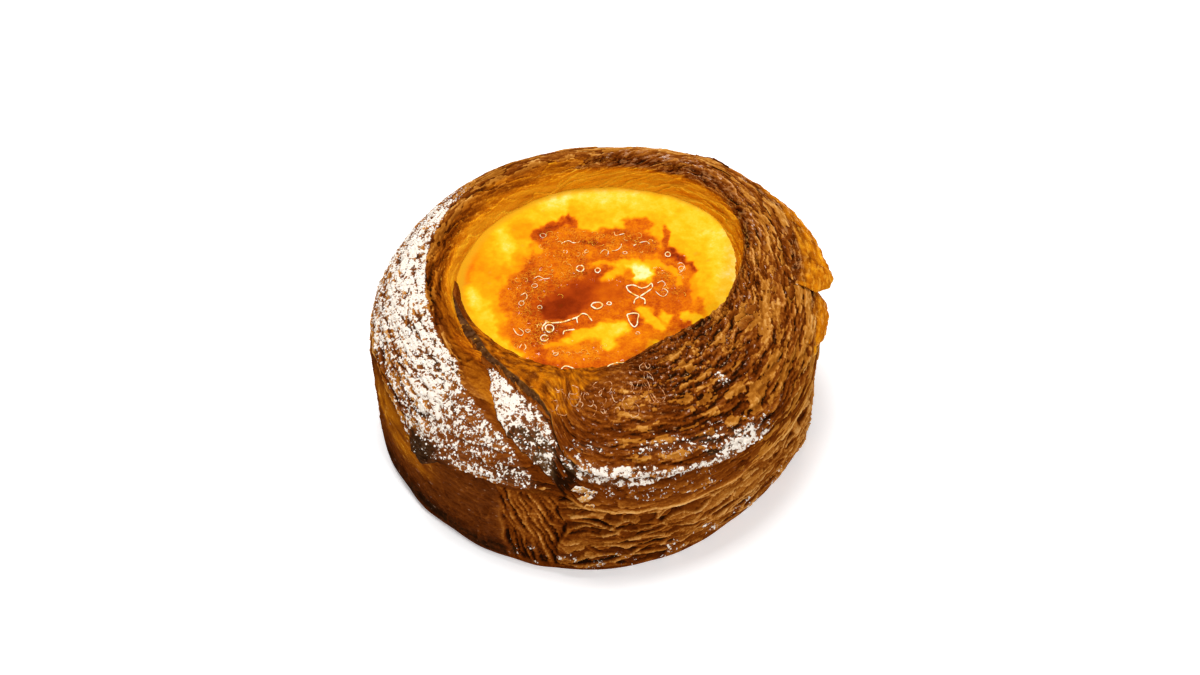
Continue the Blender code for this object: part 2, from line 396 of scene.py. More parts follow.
def flakes(u, v, seed, length, width, period=0):
    """Overlapping flakes of about this length and width: the gap, chance and lean inside each."""
    x = u / length
    y = v / width
    turns = round(period / length)
    bent = y + 0.5 * waves(x * 0.7, y * 0.5, seed + 11) + 0.22 * waves(x * 2.2, y * 1.6, seed + 12)
    shifted = x + 0.35 * waves(x, y * 0.8, seed + 13)
    return cells(shifted, bent, seed, turns)


def wrinkles(u, v, seed, length, width, thin):
    """Thin lines that run along the strip, 1 on a line and 0 between."""
    line = waves(u / length, v / width, seed) + 0.4 * waves(u / length * 2.3, v / width * 2.1, seed + 1)
    return hump(line, 0, thin)


def peeled(u, v, seed, length, width, level):
    """Patches where the dark glaze has flaked off the lighter dough: 1 on a patch, with ragged edges."""
    field = waves(u / length, v / width, seed) + 0.6 * waves(u / length * 2.2, v / width * 2.0, seed + 1)
    field = field + 0.4 * waves(u / length * 5.3, v / width * 4.1, seed + 2)
    return smooth((field - level) / 0.14 + 0.5)


def ridged(u, v, seed, length, width):
    """Sharp little ridges that run along the strip, from 0 to 1."""
    first = 1 - np.abs(waves(u / length, v / width, seed))
    second = 1 - np.abs(waves(u / length * 2.3, v / width * 2.2, seed + 1))
    return np.clip(0.65 * first + 0.35 * second, 0, 1) ** 2


def coil_surface(angle, station, across, u, v):
    """The front coil: its lift over the form and its notes."""
    share = along(((166, 0.0), (172, 0.35), (186, 1.0), (390, 1.0), (440, 0.4), (480, -0.4)), angle)
    lift = -0.4 + 1.3 * share
    v = v + 1.3 * waves(u / 17, v / 9, 101) + 0.5 * waves(u / 6, v / 4, 102)
    upper = rise(station, 3.95, 0.4)
    inner = rise(station, 4.4, 0.6)
    right = rise(angle, 318, 18)
    front = within(angle, 282, 322, 8) * rise(station, 2.6, 0.2) * (1 - rise(station, 3.7, 0.3))
    dark = within(angle, 292, 338, 8) * rise(station, 3.6, 0.25)
    still = within(angle, 225, 296, 14)
    calm = 1 - 0.75 * upper * within(angle, 160, 292, 10) - 0.35 * inner
    calm = np.clip(calm - 0.35 * still * (1 - upper), 0.15, 1)
    chance, lean = flakes(u, v, 110, 8.5, 2.0)[1:]
    chance2, lean2 = flakes(u, v, 120, 3.6, 0.95)[1:]
    lines = wrinkles(u, v, 130, 8.0, 1.3, 0.08)
    outer_part = fall(station, 4.0, 0.5)
    zone = waves(u / 12, v / 6, 170)
    short = peeled(u, v, 150, 7.0, 2.0, 0.22 - 0.5 * zone)
    short = short * np.clip(front + 0.4 * right * outer_part + 0.14, 0, 1)
    long = peeled(u, v, 160, 11.0, 2.2, 0.24 - 0.4 * zone)
    long = long * np.clip(0.95 * right + 0.3 * dark, 0, 1) * (0.5 + 0.5 * outer_part)
    patch = np.maximum(short, long)
    relief = 0.34 * chance - 0.38 * lean * (0.3 + chance) + 0.18 * chance2 - 0.22 * lean2
    relief = relief + 0.55 * (ridged(u, v, 180, 7.0, 2.0) - 0.5) + 0.2 * (ridged(u, v, 186, 3.0, 0.9) - 0.5)
    lift = lift + calm * (relief - 0.25 + 0.2 * patch)
    lift = lift + 0.6 * rough(u / 15, across / 9, 140, 2) + 0.14 * rough(u / 3.4, across / 1.7, 142, 3)
    bake = 0.37 + 0.1 * (chance - 0.5) + 0.1 * (chance2 - 0.5) + 0.1 * lines + 0.08 * zone
    bake = bake - 0.04 * within(angle, 255, 300, 14) * (1 - upper) - 0.12 * dark
    bake = bake - 0.06 * hump(station, 3.1, 0.3) * within(angle, 262, 300, 12)
    reach = 4.05 - 0.75 * fall(angle, 268, 10)
    syrup = smooth((station - reach) / 0.35) * within(angle, 196, 300, 10)
    # Painted shade: a dark line along the inner edge of the crest.
    crest_line = hump(station - 0.12 * waves(u / 11, v / 11, 194), 4.42, 0.2) * rise(angle, 362, 24)
    bake = bake - 0.26 * crest_line
    bake = bake - 0.04 * syrup + 0.16 * syrup * rough(u / 2.6, v / 1.6, 192, 3)
    bake = bake + 0.07 * rise(station, 4.3, 0.6) * rise(angle, 372, 30)
    bake = bake + 0.07 * rise(angle, 375, 40) * (1 - inner) - 0.05 * within(angle, 298, 328, 8) * outer_part
    bake = bake + 0.03 * within(angle, 252, 286, 10) * (1 - inner)
    # Painted light: the outer part of the coil at the far right is a little lighter.
    bake = bake + 0.04 * within(angle, 354, 374, 8) * outer_part
    bake = bake + 0.04 * within(angle, 262, 292, 8) * within(station, 3.2, 3.9, 0.3)
    bake = bake - 0.035 * within(angle, 292, 340, 10) + 0.04 * rise(angle, 375, 20) * (1 - inner)
    glazed = syrup * np.clip(0.42 + 0.6 * rough(u / 3.2, v / 2.0, 190, 3), 0, 1)
    glazed = glazed * (1 - 0.8 * rise(angle, 264, 16))
    amber = rise(station, 4.62, 0.5) * rise(angle, 352, 50) * 1.15
    gloss = 0.2 + 0.12 * rise(station, 3.1, 0.6) * rise(angle, 270, 12)
    gloss = gloss + 0.12 * within(angle, 385, 450, 12) * within(station, 3.9, 4.6, 0.3)
    # The cut edge of the strip slopes down to the wrap as a smooth face; its dark grey-brown colour is
    # painted shade for the crevice it lies in.
    wide = 2.1 * rise(angle, 168, 34) * fall(angle, 262, 12)
    slope = np.clip(across / np.maximum(wide, 0.2), 0, 1)
    on = smooth((wide - across) / 0.35) * smooth(wide / 0.6)
    top = np.take_along_axis(lift, np.argmin(np.abs(across - wide), axis=1)[:, None], axis=1)
    lift = lift * (1 - on) + on * (-0.7 + (top + 0.7 + 0.35) * slope)
    bake = bake - 0.3 * hump(angle, 258, 4) * hump(station, 2.9, 0.3)
    sugar = sugar_on_coil(angle, station)
    notes = {
        "bake": bake, "sugar": sugar, "amber": np.maximum(amber, glazed), "gloss": gloss * (1 - 0.6 * patch),
        "face": on, "patch": patch * (1 - on),
        "calm": np.maximum(on, np.maximum(0.45 * still, 1.3 * syrup))}
    return lift, notes


def middle_surface(angle, station, across, u, v):
    """The middle layer: its lift over the form and its notes."""
    lift = 0.1 - 0.5 * fall(angle, 210, 15) + 0.1 * rise(angle, 262, 6) - 1.6 * rise(angle, 415, 50)
    lift = lift + 0.5 * hump(across, 0, 4.5) * within(angle, 264, 345, 5)
    v = v + 1.0 * waves(u / 15, v / 8, 201) + 0.4 * waves(u / 5, v / 3, 202)
    chance, lean = flakes(u, v, 210, 8.5, 2.4)[1:]
    chance2, lean2 = flakes(u, v, 220, 3.4, 1.0)[1:]
    patch = peeled(u, v, 230, 8.0, 1.9, 0.05) * rise(angle, 300, 20)
    lift = lift + 0.34 * chance - 0.36 * lean * (0.3 + chance) + 0.16 * chance2 - 0.14 * lean2
    lift = lift - 0.25 + 0.12 * patch
    lift = lift + 0.35 * rough(u / 12, across / 8, 230, 2) + 0.12 * rough(u / 3, across / 1.6, 232, 3)
    sugar = sugar_on_middle(angle, station)
    bake = 0.43 + 0.18 * (chance - 0.5) + 0.14 * (chance2 - 0.5)
    bake = bake - 0.42 * within(angle, 244, 262, 5) * fall(station, 3.4, 0.3)
    tan = hump(across, 0.9, 0.7) * within(angle, 264, 345, 4)
    bake = bake + 0.12 * tan
    patch = np.maximum(patch, 0.55 * tan)
    notes = {
        "bake": bake, "sugar": sugar, "amber": 0 * lift, "gloss": 0.12 + 0 * lift, "face": 0 * lift,
        "patch": patch, "calm": 0.3 + 0 * lift}
    return lift, notes


# The fold across the outer wrap: the (angle, station) points of the line that the dough steps up over.
FOLD = ((190, 4.06), (198, 3.9), (204, 3.62), (214, 3.34), (221, 3.15), (226, 2.9))


def outer_surface(angle, station, across, u, v):
    """The outer wrap: its lift over the form and its notes."""
    lift = -0.4 - 1.4 * fall(angle, 104, 40)
    v = v + 1.2 * waves(u / 17, v / 9, 301) + 0.5 * waves(u / 6, v / 4, 302)
    inner = rise(station, 4.2, 0.8)
    slope = within(angle, 190, 246, 10) * smooth((station - along(SUGAR_TOP, angle)) / 0.15)
    low = within(angle, 224, 262, 8) * (1 - slope)
    calm = 1 - 0.55 * inner - 0.55 * slope * (1 - inner) - 0.6 * low
    chance, lean = flakes(u, v, 310, 9.0, 2.2)[1:]
    chance2, lean2 = flakes(u, v, 320, 4.0, 1.0)[1:]
    lines = wrinkles(u, v, 330, 9.0, 1.4, 0.08)
    patch = peeled(u, v, 350, 9.0, 2.0, 0.1) * (1 - inner) * (1 - 0.9 * slope) * (1 - 0.8 * low)
    relief = 0.36 * chance - 0.36 * lean * (0.3 + chance) + 0.16 * chance2 - 0.14 * lean2 + 0.1 * lines
    lift = lift + calm * (relief - 0.3 + 0.12 * patch)
    lift = lift + 0.6 * rough(u / 14, across / 9, 340, 2) + 0.14 * rough(u / 3.2, across / 1.6, 342, 3)
    bake = 0.42 + 0.14 * (chance - 0.5) + 0.16 * (chance2 - 0.5) * calm + 0.08 * lines
    folded = within(angle, FOLD[0][0], FOLD[-1][0], 4)
    aside = station - along(FOLD, angle)
    crease = hump(aside, 0, 0.06)
    lift = lift + folded * (0.14 * smooth(aside / 0.3) - 0.1 * crease) * smooth(1.6 - aside)
    # Painted shade in the fold's crease.
    bake = bake - 0.16 * folded * crease
    crease = wrinkles(u, v - 0.22 * u, 360, 9.0, 2.6, 0.12) * within(angle, 140, 216, 12) * (1 - inner)
    lift = lift - 0.22 * crease
    # Painted shade in the wrinkles' creases.
    bake = bake - 0.05 * crease
    # The lowest corner is a swollen burnt lump, and the lip beside it turns under, dark and bare.
    burnt = hump(angle, 221, 3.8) * fall(station, 2.2, 0.2)
    turned = within(angle, 219, 231, 3) * hump(across, 0, 1.3)
    lift = lift + burnt * (0.8 + 0.5 * rough(u / 1.8, v / 1.5, 365, 2)) + 0.2 * turned
    bake = bake - 0.62 * np.maximum(burnt, 0.85 * turned)
    # Painted shadow: the wrap just under the middle layer's edge is darker.
    bake = bake - 0.2 * within(angle, 246, 258, 5) * fall(station, 2.8, 0.3)
    sugar = sugar_on_wrap(angle, station) * (1 - 0.85 * turned) * (1 - 0.55 * burnt) * (1 - 0.5 * crease)
    amber = (0.42 * rise(station, 3.95, 0.4) + 0.7 * rise(station, 4.7, 0.7)) * fall(angle, 238, 20)
    amber = amber + 0.3 * slope * within(angle, 206, 240, 8)
    # Painted shade: a dark line along the inner edge of the crest.
    bake = bake - 0.2 * hump(station, 4.42, 0.2) * within(angle, 60, 160, 10)
    bake = bake - 0.24 * within(angle, 150, 225, 14) * rise(station, 3.9, 0.2) * fall(station, 5.3, 1.0)
    gloss = 0.08 + 0.25 * inner
    notes = {
        "bake": bake, "sugar": sugar, "amber": amber, "gloss": gloss,
        "face": 0.8 * np.clip(1.4 * burnt + 0.6 * turned, 0, 1), "patch": patch * (1 - burnt),
        "calm": np.maximum(np.maximum(slope, 0.8 * low), 0.5 * inner * within(angle, 150, 240, 10))}
    return lift, notes


def wall_surface(angle, station, across, u):
    """The side wall: its lift over the form and its notes."""
    period = round(360 * DEGREE * STRIP_RADIUS)
    lip = along(WALL_TOP, np.mod(angle, 360))
    front = within(angle, 262, 350, 3)
    left = within(angle, 190, 248, 6)
    lift = -(1.0 + 0.8 * front) * smooth((station - 0.9) / np.maximum(0.2, lip - 0.95)) + 0.3 * front
    v = across + 1.8 * waves(u / 13, across / 7, 401) + 0.8 * waves(u / 4.5, across / 3.5, 402)
    # Soft golden layers with hollows between them: the hollows and deep gaps are darkened as painted shade,
    # and the raised rims a little lightened as painted light.
    gap, chance = flakes(u, v, 410, 8.0, 2.5, period)[:2]
    chance2, lean2 = flakes(u, v, 420, 3.4, 1.1, period)[1:]
    hollow = smooth(gap / 0.4) * rise(chance, 0.56, 0.06)
    deep = rise(gap, 0.12, 0.2) * rise(chance, 0.92, 0.02)
    rim = hump(gap, 0.05, 0.14) * rise(chance, 0.5, 0.1)
    rough_side = 1 - 0.85 * left
    back = 1 - within(angle, 250, 372, 14) - within(angle, -20, 12, 14)
    hollow = hollow * (0.62 - 0.12 * back)
    deep = deep * (0.6 - 0.4 * back)
    layers = ridged(u, v, 426, 12.0, 1.5)
    lift = lift + 0.3 * back * rough_side * (layers - 0.5)
    relief = 0.3 * rim * (1 - 0.4 * back) - 0.45 * hollow - 0.4 * deep
    relief = relief + 0.3 * chance2 - 0.3 * lean2 * (0.3 + chance2)
    lift = lift + rough_side * relief
    lift = lift + 0.5 * rough(u / 16, across / 8, 440, 2) + 0.14 * rough(u / 2.4, across / 1.8, 442, 3)
    # Painted shade: the front-left of the wall, under the lip, is darker.
    shade = within(angle, 255, 292, 10)
    bake = 0.5 - 0.1 * shade - 0.17 * hollow * (1 - 0.4 * shade) - 0.2 * deep
    bake = bake + 0.04 * rim + 0.14 * (chance2 - 0.5)
    plates = within(angle, 308, 332, 6) * rise(station, 0.7, 0.3)
    bake = bake - 0.08 * plates * hollow + 0.1 * back * (layers - 0.5)
    patch = (1 - hollow) * (0.42 - 0.1 * shade + 0.3 * (chance2 - 0.5)) * (1 - deep)
    # The left side is smooth and dark, with a glowing panel between light seams.
    wide_gap, wide_chance = flakes(u + 0.5 * v, v, 450, 4.0, 5.0, period)[:2]
    seam = hump(wide_gap, 0, 0.08) * smooth(waves(u / 5, v / 4, 404) + 0.7)
    panel = within(angle, 199, 218, 12) * within(station, 1.15, 1.8, 0.5)
    panel = panel * np.clip(0.85 + 0.7 * rough(u / 6, across / 5, 452, 2), 0, 1)
    glow = hump(angle, 233, 5.0) * hump(station, 1.15, 0.4)
    calm_bake = 0.3 + 0.15 * panel + 0.09 * glow + (0.04 + 0.22 * panel) * seam + 0.05 * (wide_chance - 0.5)
    lift = lift + left * 0.12 * seam
    bake = bake + (calm_bake - bake) * left
    patch = patch * (1 - left) + left * seam * (0.15 + 0.4 * panel)
    # The cut end: many thin, crumbly ridges that lean to the right as they go down.
    cut_edge = 243.6 + 1.4 * (2 - station) + 0.7 * waves(station * 2.4, station * 0, 438)
    cut_end = 260.2 + 2.2 * hump(station, 1.15, 0.5) + 0.9 * waves(station * 2.4, station * 0, 439)
    cut = smooth((angle - cut_edge) / 0.9) * smooth((cut_end - angle) / 1.0) * fall(station, 1.94, 0.06)
    aside = (angle - 244) * 0.75 + (2.6 + 0.1 * (angle - 244)) * (station - 2.0)
    aside = aside + 0.5 * waves(u / 3, across / 5, 429) + 0.22 * waves(u / 0.9, across / 1.1, 428)
    down = across + 0.3 * u
    ribs = waves(aside / 0.75, down / 8, 430)
    fine = waves(aside / 0.4, down / 3, 431)
    groove = hump(ribs, -0.35, 0.12)
    carved = -0.8 * smooth(station / 0.6) + 0.28 * ribs + 0.16 * fine - 0.16 * groove
    carved = carved + 0.14 * rough(u / 0.9, across / 1.1, 434, 2)
    lift = lift * (1 - 0.8 * cut) + cut * carved
    middle_glow = hump(angle + 3 * (station - 1.2), 253.5, 2.6) * hump(station, 1.2, 0.45)
    # Painted light and shade on the cut end: the raised ribs are lighter and the grooves darker.
    cut_bake_and_shading = 0.41 + 0.15 * ribs + 0.1 * fine - 0.1 * groove + 0.2 * middle_glow
    cut_bake_and_shading = cut_bake_and_shading + 0.06 * waves(u / 3, across / 3, 437)
    patch = patch * (1 - cut) + cut * smooth(ribs + 0.3 * fine) * (0.4 + 0.45 * middle_glow)
    # Painted shade: a dark strip along the cut end's right edge, where it turns into the wall's layers.
    strip = hump(angle, cut_end, 1.3) * rise(station, 0.5, 0.4)
    bake = bake * (1 - cut) + cut * cut_bake_and_shading - 0.16 * strip
    # Painted shade: a dark band on the wall just under the lip.
    bake = bake - 0.16 * hump(station, lip, 0.1375) * (1 - left)
    # Painted shade: the wall darkens towards its foot, and more so low down on the left.
    foot = fall(station, 0.5, 0.5)
    low_shade = within(angle, 200, 262, 6) * fall(station, 0.7, 0.5) * (1 - 0.6 * cut)
    bake = bake - 0.12 * foot * (1 - 0.7 * front) - 0.14 * low_shade
    sugar = 0.34 * within(angle, 250, 330, 14) * within(station, 0.02, 0.4, 0.12)
    sugar = sugar * smooth(0.2 + waves(u / 4, v / 3, 470))
    # On the left the face note adds a faint painted grey sheen.
    notes = {
        "bake": bake, "sugar": sugar, "amber": 0.4 * panel * left, "gloss": 0.1 * left,
        "face": left * (1 - cut) * (0.2 - 0.15 * panel), "patch": np.clip(patch * (1 - strip), 0, 1),
        "calm": 1 + 0.3 * left * (1 - cut)}
    return lift, notes


def painted_relief_shading(lift):
    """Painted shading from the relief: lighter on ridges and raised edges, darker in grooves."""
    fine = lift - softened(lift, 2, 2)
    wide = lift - softened(lift, 6, 6)
    return np.clip(0.8 * fine, -0.25, 0.2) + np.clip(0.4 * wide, -0.25, 0.15)


def lay_strip(name, start, end, spacing, lower, upper, flow, surface, rows, face_rows, bed, undercut):
    """A closed sheet of dough wound between two angles and two edges; its layers run along the flow."""
    columns = int((end - start) * DEGREE * STRIP_RADIUS / spacing)
    angle = np.linspace(start, end, columns)
    station, across = even_stations(angle, lower(angle), upper(angle), rows)
    angle2 = np.repeat(angle[:, None], rows, axis=1)
    u = angle2 * DEGREE * STRIP_RADIUS
    v = length_between(angle2, flow(angle2), station)
    lift, notes = surface(angle2, station, across, u, v)
    # The edge is rounded over, and its own outline is a little ragged.
    ragged = 0.05 * waves(u / 2.2, across * 0 + 0.5, 900) + 0.03 * waves(u / 0.8, across * 0 + 0.5, 901)
    near_edge = np.exp(-across / 1.6)
    station = station + ragged * near_edge
    turn = np.clip(1 - across / 0.9, 0, 1)
    lift = lift - 0.75 * (1 - np.sqrt(1 - turn**2))
    clumps = waves(u / 1.5, v / 1.3, 902) + 0.7 * waves(u / 0.8, v / 0.8, 903)
    notes["sugar"] = notes["sugar"] * (1 + 0.3 * clumps)
    lift = lift + 0.22 * smooth(notes["sugar"] * 2 - 0.5) * (0.5 + 0.5 * np.clip(clumps, -1, 1))
    # Painted light and shade: lighter on the raised relief, darker in its grooves.
    notes["bake"] = notes["bake"] + painted_relief_shading(lift)
    notes["lie"] = np.stack([u, v, 0 * u], axis=-1)
    # The last rows dive under what lies on them, and the two ends fade out.
    share = np.arange(1, face_rows + 1) / (face_rows + 1)
    face_lift = bed + (lift[:, :1] - bed) * share
    face_station = station[:, :1] + undercut * (1 - share) ** 1.5
    one = angle2[:, :1]
    under = np.full((columns, 1), bed - 0.6)
    points = [
        form(angle2[:, :face_rows], face_station, face_lift),
        form(angle2, station, lift),
        form(one, station[:, -1:], under),
        form(one, (station[:, :1] + station[:, -1:]) / 2, under),
        form(one, station[:, :1] + 0.1, under),
    ]
    points.append(points[0][:, :1])
    points = np.concatenate(points, axis=1)
    full = {}
    for key, values in notes.items():
        first = np.repeat(values[:, :1], face_rows, axis=1)
        if key in ("sugar", "patch"):
            first = first * 0
        if key == "lie":
            first = first.copy()
            first[:, :, 1] = v[:, :1] - (1 - share) * (lift[:, :1] - bed)
        last = np.repeat(values[:, -1:], 3, axis=1)
        full[key] = np.concatenate([first, values, last, first[:, :1]], axis=1)
    return shaped_grid(name, points, full, wrap_rows=True, caps=True)


# How far under the wall's first row each row of the base lies.
FOOT_LENGTHS = np.array((-50.0, -25.0, -11.0, -5.2, -3.4, -2.5, -2.0, -1.6, -1.15, -0.6))


def make_wall(spacing=0.36, rows=74):
    """The drum: base, side wall, the hidden bed under the strips and the well."""
    columns = int(360 * DEGREE * 50 / spacing)
    angle = np.linspace(0, 360, columns + 1)
    top = along(WALL_TOP, angle) + 0.12
    station, across = even_stations(angle, 0 * angle, top, rows)
    angle2 = np.repeat(angle[:, None], rows, axis=1)
    u = angle2 * DEGREE * STRIP_RADIUS
    lift, notes = wall_surface(angle2, station, across, u)
    blend = rise(angle2, 354, 6)
    for key in list(notes):
        notes[key] = notes[key] * (1 - blend) + notes[key][:1] * blend
    lift = lift * (1 - blend) + lift[:1] * blend
    foot = fall(station, 0.12, 0.12)
    lift = lift * (1 - foot)
    # Painted light and shade: lighter on the raised relief, darker in its grooves.
    notes["bake"] = notes["bake"] + painted_relief_shading(lift)
    notes["lie"] = np.stack([u, across, 0 * u], axis=-1)
    foot_radius = around(FOOT_RADIUS, angle) + 0.35 * waves(angle / 9, angle * 0 + 0.5, 480, 40)

    def ring(radius, height):
        return np.stack([radius * np.cos(angle * DEGREE), radius * np.sin(angle * DEGREE),
                         np.full_like(angle, height)], axis=-1)[:, None]

    base = [ring(foot_radius * 0, 0.0), ring(foot_radius * 0.5, 0.0), ring(foot_radius * 0.8, 0.0)]
    for share, height in (
            (0.92, 0.0), (0.955, 0.06), (0.972, 0.25), (0.983, 0.55), (0.990, 0.9), (0.995, 1.3), (0.998,
                1.8)):
        base.append(ring(foot_radius * share, height))
    one = angle[:, None]
    inner = [form(one, np.full_like(one, s), np.full_like(one, -3.2)) for s in (2.6, 3.4, 4.2, 5.0)]
    brim = around(BRIM_RADIUS, angle)
    well = [ring(brim + 0.6, 32.0), ring(brim - 1.5, WELL_FLOOR), ring(brim * 0, WELL_FLOOR)]
    points = np.concatenate(base + [form(angle2, station, lift)] + inner + well, axis=1)
    full = {}
    for key, values in notes.items():
        first = np.repeat(values[:, :1], len(base), axis=1)
        last = np.repeat(values[:, -1:], len(inner) + len(well), axis=1)
        if key in ("lie", "bake"):
            first = first.copy()
        if key == "lie":
            first[:, :, 1] = FOOT_LENGTHS
        if key == "bake":
            lengths = np.repeat(FOOT_LENGTHS[None], columns + 1, axis=0)
            first = 0.5 * first + 0.18 + 0.16 * rough(u[:, :len(base)] / 1.6, lengths / 0.6, 481, 2)
        full[key] = np.concatenate([first, values, last], axis=1)
    return shaped_grid("side_wall", points, full, wrap_columns=True)


def coil_lower(angle):
    return along(COIL_EDGE, angle)


def brim_edge(angle):
    return np.full_like(angle, STRIP_END)


def middle_lower(angle):
    return along(MIDDLE_EDGE, angle)


def middle_upper(angle):
    return np.minimum(coil_lower(angle) + 0.35, 5.8)


def outer_lower(angle):
    return along(OUTER_LIP, angle)


def wrap_flow(angle):
    return np.full_like(angle, 1.9)


def outer_upper(angle):
    return np.where(angle < 168, STRIP_END,
        np.minimum(STRIP_END, coil_lower(angle) + 0.4 + 0.9 * fall(angle, 200, 32)))


wall = make_wall()
coil = lay_strip("front_coil", 167, 482, 0.3, coil_lower, brim_edge, coil_lower, coil_surface, 106, 8, -2.0,
    0.02)
middle = lay_strip(
    "middle_layer", 204, 470, 0.32, middle_lower, middle_upper, middle_lower, middle_surface, 44, 6, -2.4,
    0.12)
outer = lay_strip(
    "outer_wrap", 60, 264, 0.3, outer_lower, outer_upper, wrap_flow, outer_surface, 120, 6, -2.6, 0.12)


# ---- Materials: a wire wraps a shader socket, and arithmetic on wires adds the Math nodes.
class Wire:
    """A shader socket that can be added, multiplied and so on."""

    def __init__(self, paint, socket):
        self.paint = paint
        self.socket = socket

    def __add__(self, other):
        return self.paint.math("ADD", self, other)

    def __radd__(self, other):
        return self.paint.math("ADD", other, self)

    def __sub__(self, other):
        return self.paint.math("SUBTRACT", self, other)

    def __rsub__(self, other):
        return self.paint.math("SUBTRACT", other, self)

    def __mul__(self, other):
        return self.paint.math("MULTIPLY", self, other)

    def __rmul__(self, other):
        return self.paint.math("MULTIPLY", other, self)

    def __truediv__(self, other):
        return self.paint.math("DIVIDE", self, other)

    def step(self, low, high):
        """0 at low, 1 at high and smooth between."""
        settings = {"interpolation_type": "SMOOTHSTEP"}
        return self.paint.node("ShaderNodeMapRange", settings, {0: self, 1: low, 2: high, 3: 0.0, 4: 1.0})


class Paint:
    """A material on a Principled shader."""

    def __init__(self, name, **fixed):
        self.material = bpy.data.materials.new(name)
        self.material.use_nodes = True
        self.tree = self.material.node_tree
        self.shader = self.tree.nodes["Principled BSDF"]
        for key, value in fixed.items():
            self.shader.inputs[key.replace("_", " ")].default_value = value

    def feed(self, socket, value):
        if isinstance(value, Wire):
            self.tree.links.new(value.socket, socket)
        elif isinstance(value, (tuple, list)) and socket.type == "RGBA":
            socket.default_value = (*value[:3], 1.0)
        else:
            socket.default_value = value

    def node(self, kind, settings=None, sockets=None, output=0):
        """Adds a node: its settings first, then the values or links of its sockets."""
        node = self.tree.nodes.new(kind)
        for key, value in (settings or {}).items():
            if key == "stops":
                ramp = node.color_ramp
                while len(ramp.elements) < len(value):
                    ramp.elements.new(0.5)
                for element, (place, colour) in zip(ramp.elements, value):
                    element.position = place
                    element.color = (*colour, 1.0)
            else:
                setattr(node, key, value)
        for key, value in (sockets or {}).items():
            self.feed(node.inputs[key], value)
        return Wire(self, node.outputs[output])

    def math(self, operation, *values):
        return self.node("ShaderNodeMath", {"operation": operation}, dict(enumerate(values)))

    def note(self, name):
        return self.node("ShaderNodeAttribute", {"attribute_name": name}, output="Fac")

    def place(self, name):
        return self.node("ShaderNodeAttribute", {"attribute_name": name}, output="Vector")

    def spot(self):
        """The place on the piece, in millimetres."""
        place = self.node("ShaderNodeTexCoord", output="Object")
        return self.node("ShaderNodeVectorMath", {"operation": "SCALE"}, {0: place, "Scale": 1 / MM})

    def join(self, x, y, z=0.0):
        return self.node("ShaderNodeCombineXYZ", None, {0: x, 1: y, 2: z})

    def noise(self, vector, scale=1.0, detail=2.0, roughness=0.5):
        sockets = {"Vector": vector, "Scale": scale, "Detail": detail, "Roughness": roughness}
        return self.node("ShaderNodeTexNoise", {"noise_dimensions": "3D"}, sockets)

    def ramp(self, value, stops):
        return self.node("ShaderNodeValToRGB", {"stops": stops}, {0: value})

    def mix(self, share, first, second):
        settings = {"data_type": "RGBA", "clamp_factor": True}
        return self.node("ShaderNodeMix", settings, {0: share, 6: first, 7: second}, output=2)

    def split(self, vector):
        node = self.tree.nodes.new("ShaderNodeSeparateXYZ")
        self.feed(node.inputs[0], vector)
        return [Wire(self, socket) for socket in node.outputs]

    def finish(self, colour, roughness, height, **more):
        """Connects colour, roughness and a height in millimetres."""
        self.feed(self.shader.inputs["Base Color"], colour)
        self.feed(self.shader.inputs["Roughness"], roughness)
        for key, value in more.items():
            self.feed(self.shader.inputs[key.replace("_", " ")], value)
        bump = self.node("ShaderNodeBump", None, {"Strength": 1.0, "Distance": MM, "Height": height})
        self.feed(self.shader.inputs["Normal"], bump)
        return self.material


CRUST_TONES = (
    (0.0, (0.014, 0.004, 0.001)),
    (0.18, (0.075, 0.013, 0.001)),
    (0.38, (0.155, 0.032, 0.0025)),
    (0.55, (0.25, 0.066, 0.006)),
    (0.7, (0.38, 0.125, 0.015)),
    (0.85, (0.55, 0.22, 0.045)),
    (1.0, (0.78, 0.45, 0.18)),
)
PEELED_TONES = (
    (0.2, (0.20, 0.054, 0.004)),
    (0.45, (0.33, 0.108, 0.010)),
    (0.65, (0.47, 0.178, 0.024)),
    (0.9, (0.68, 0.34, 0.09)),
)
AMBER_TONES = (
    (0.0, (0.10, 0.015, 0.001)),
    (0.25, (0.30, 0.062, 0.002)),
    (0.5, (0.52, 0.142, 0.003)),
    (0.7, (0.68, 0.225, 0.004)),
    (0.85, (0.86, 0.35, 0.007)),
    (1.0, (0.95, 0.55, 0.03)),
)
# The crust's single colours.
GOLD = (0.80, 0.38, 0.014)
FACE_DARK = (0.018, 0.006, 0.002)
FACE_LIGHT = (0.10, 0.045, 0.019)
SUGAR_HAZE = (0.5, 0.25, 0.10)
SUGAR_DIM = (0.78, 0.64, 0.50)
SUGAR_BRIGHT = (0.93, 0.88, 0.80)
GLINT_BROWN = (0.50, 0.21, 0.06)
GLINT_AMBER = (0.85, 0.36, 0.02)


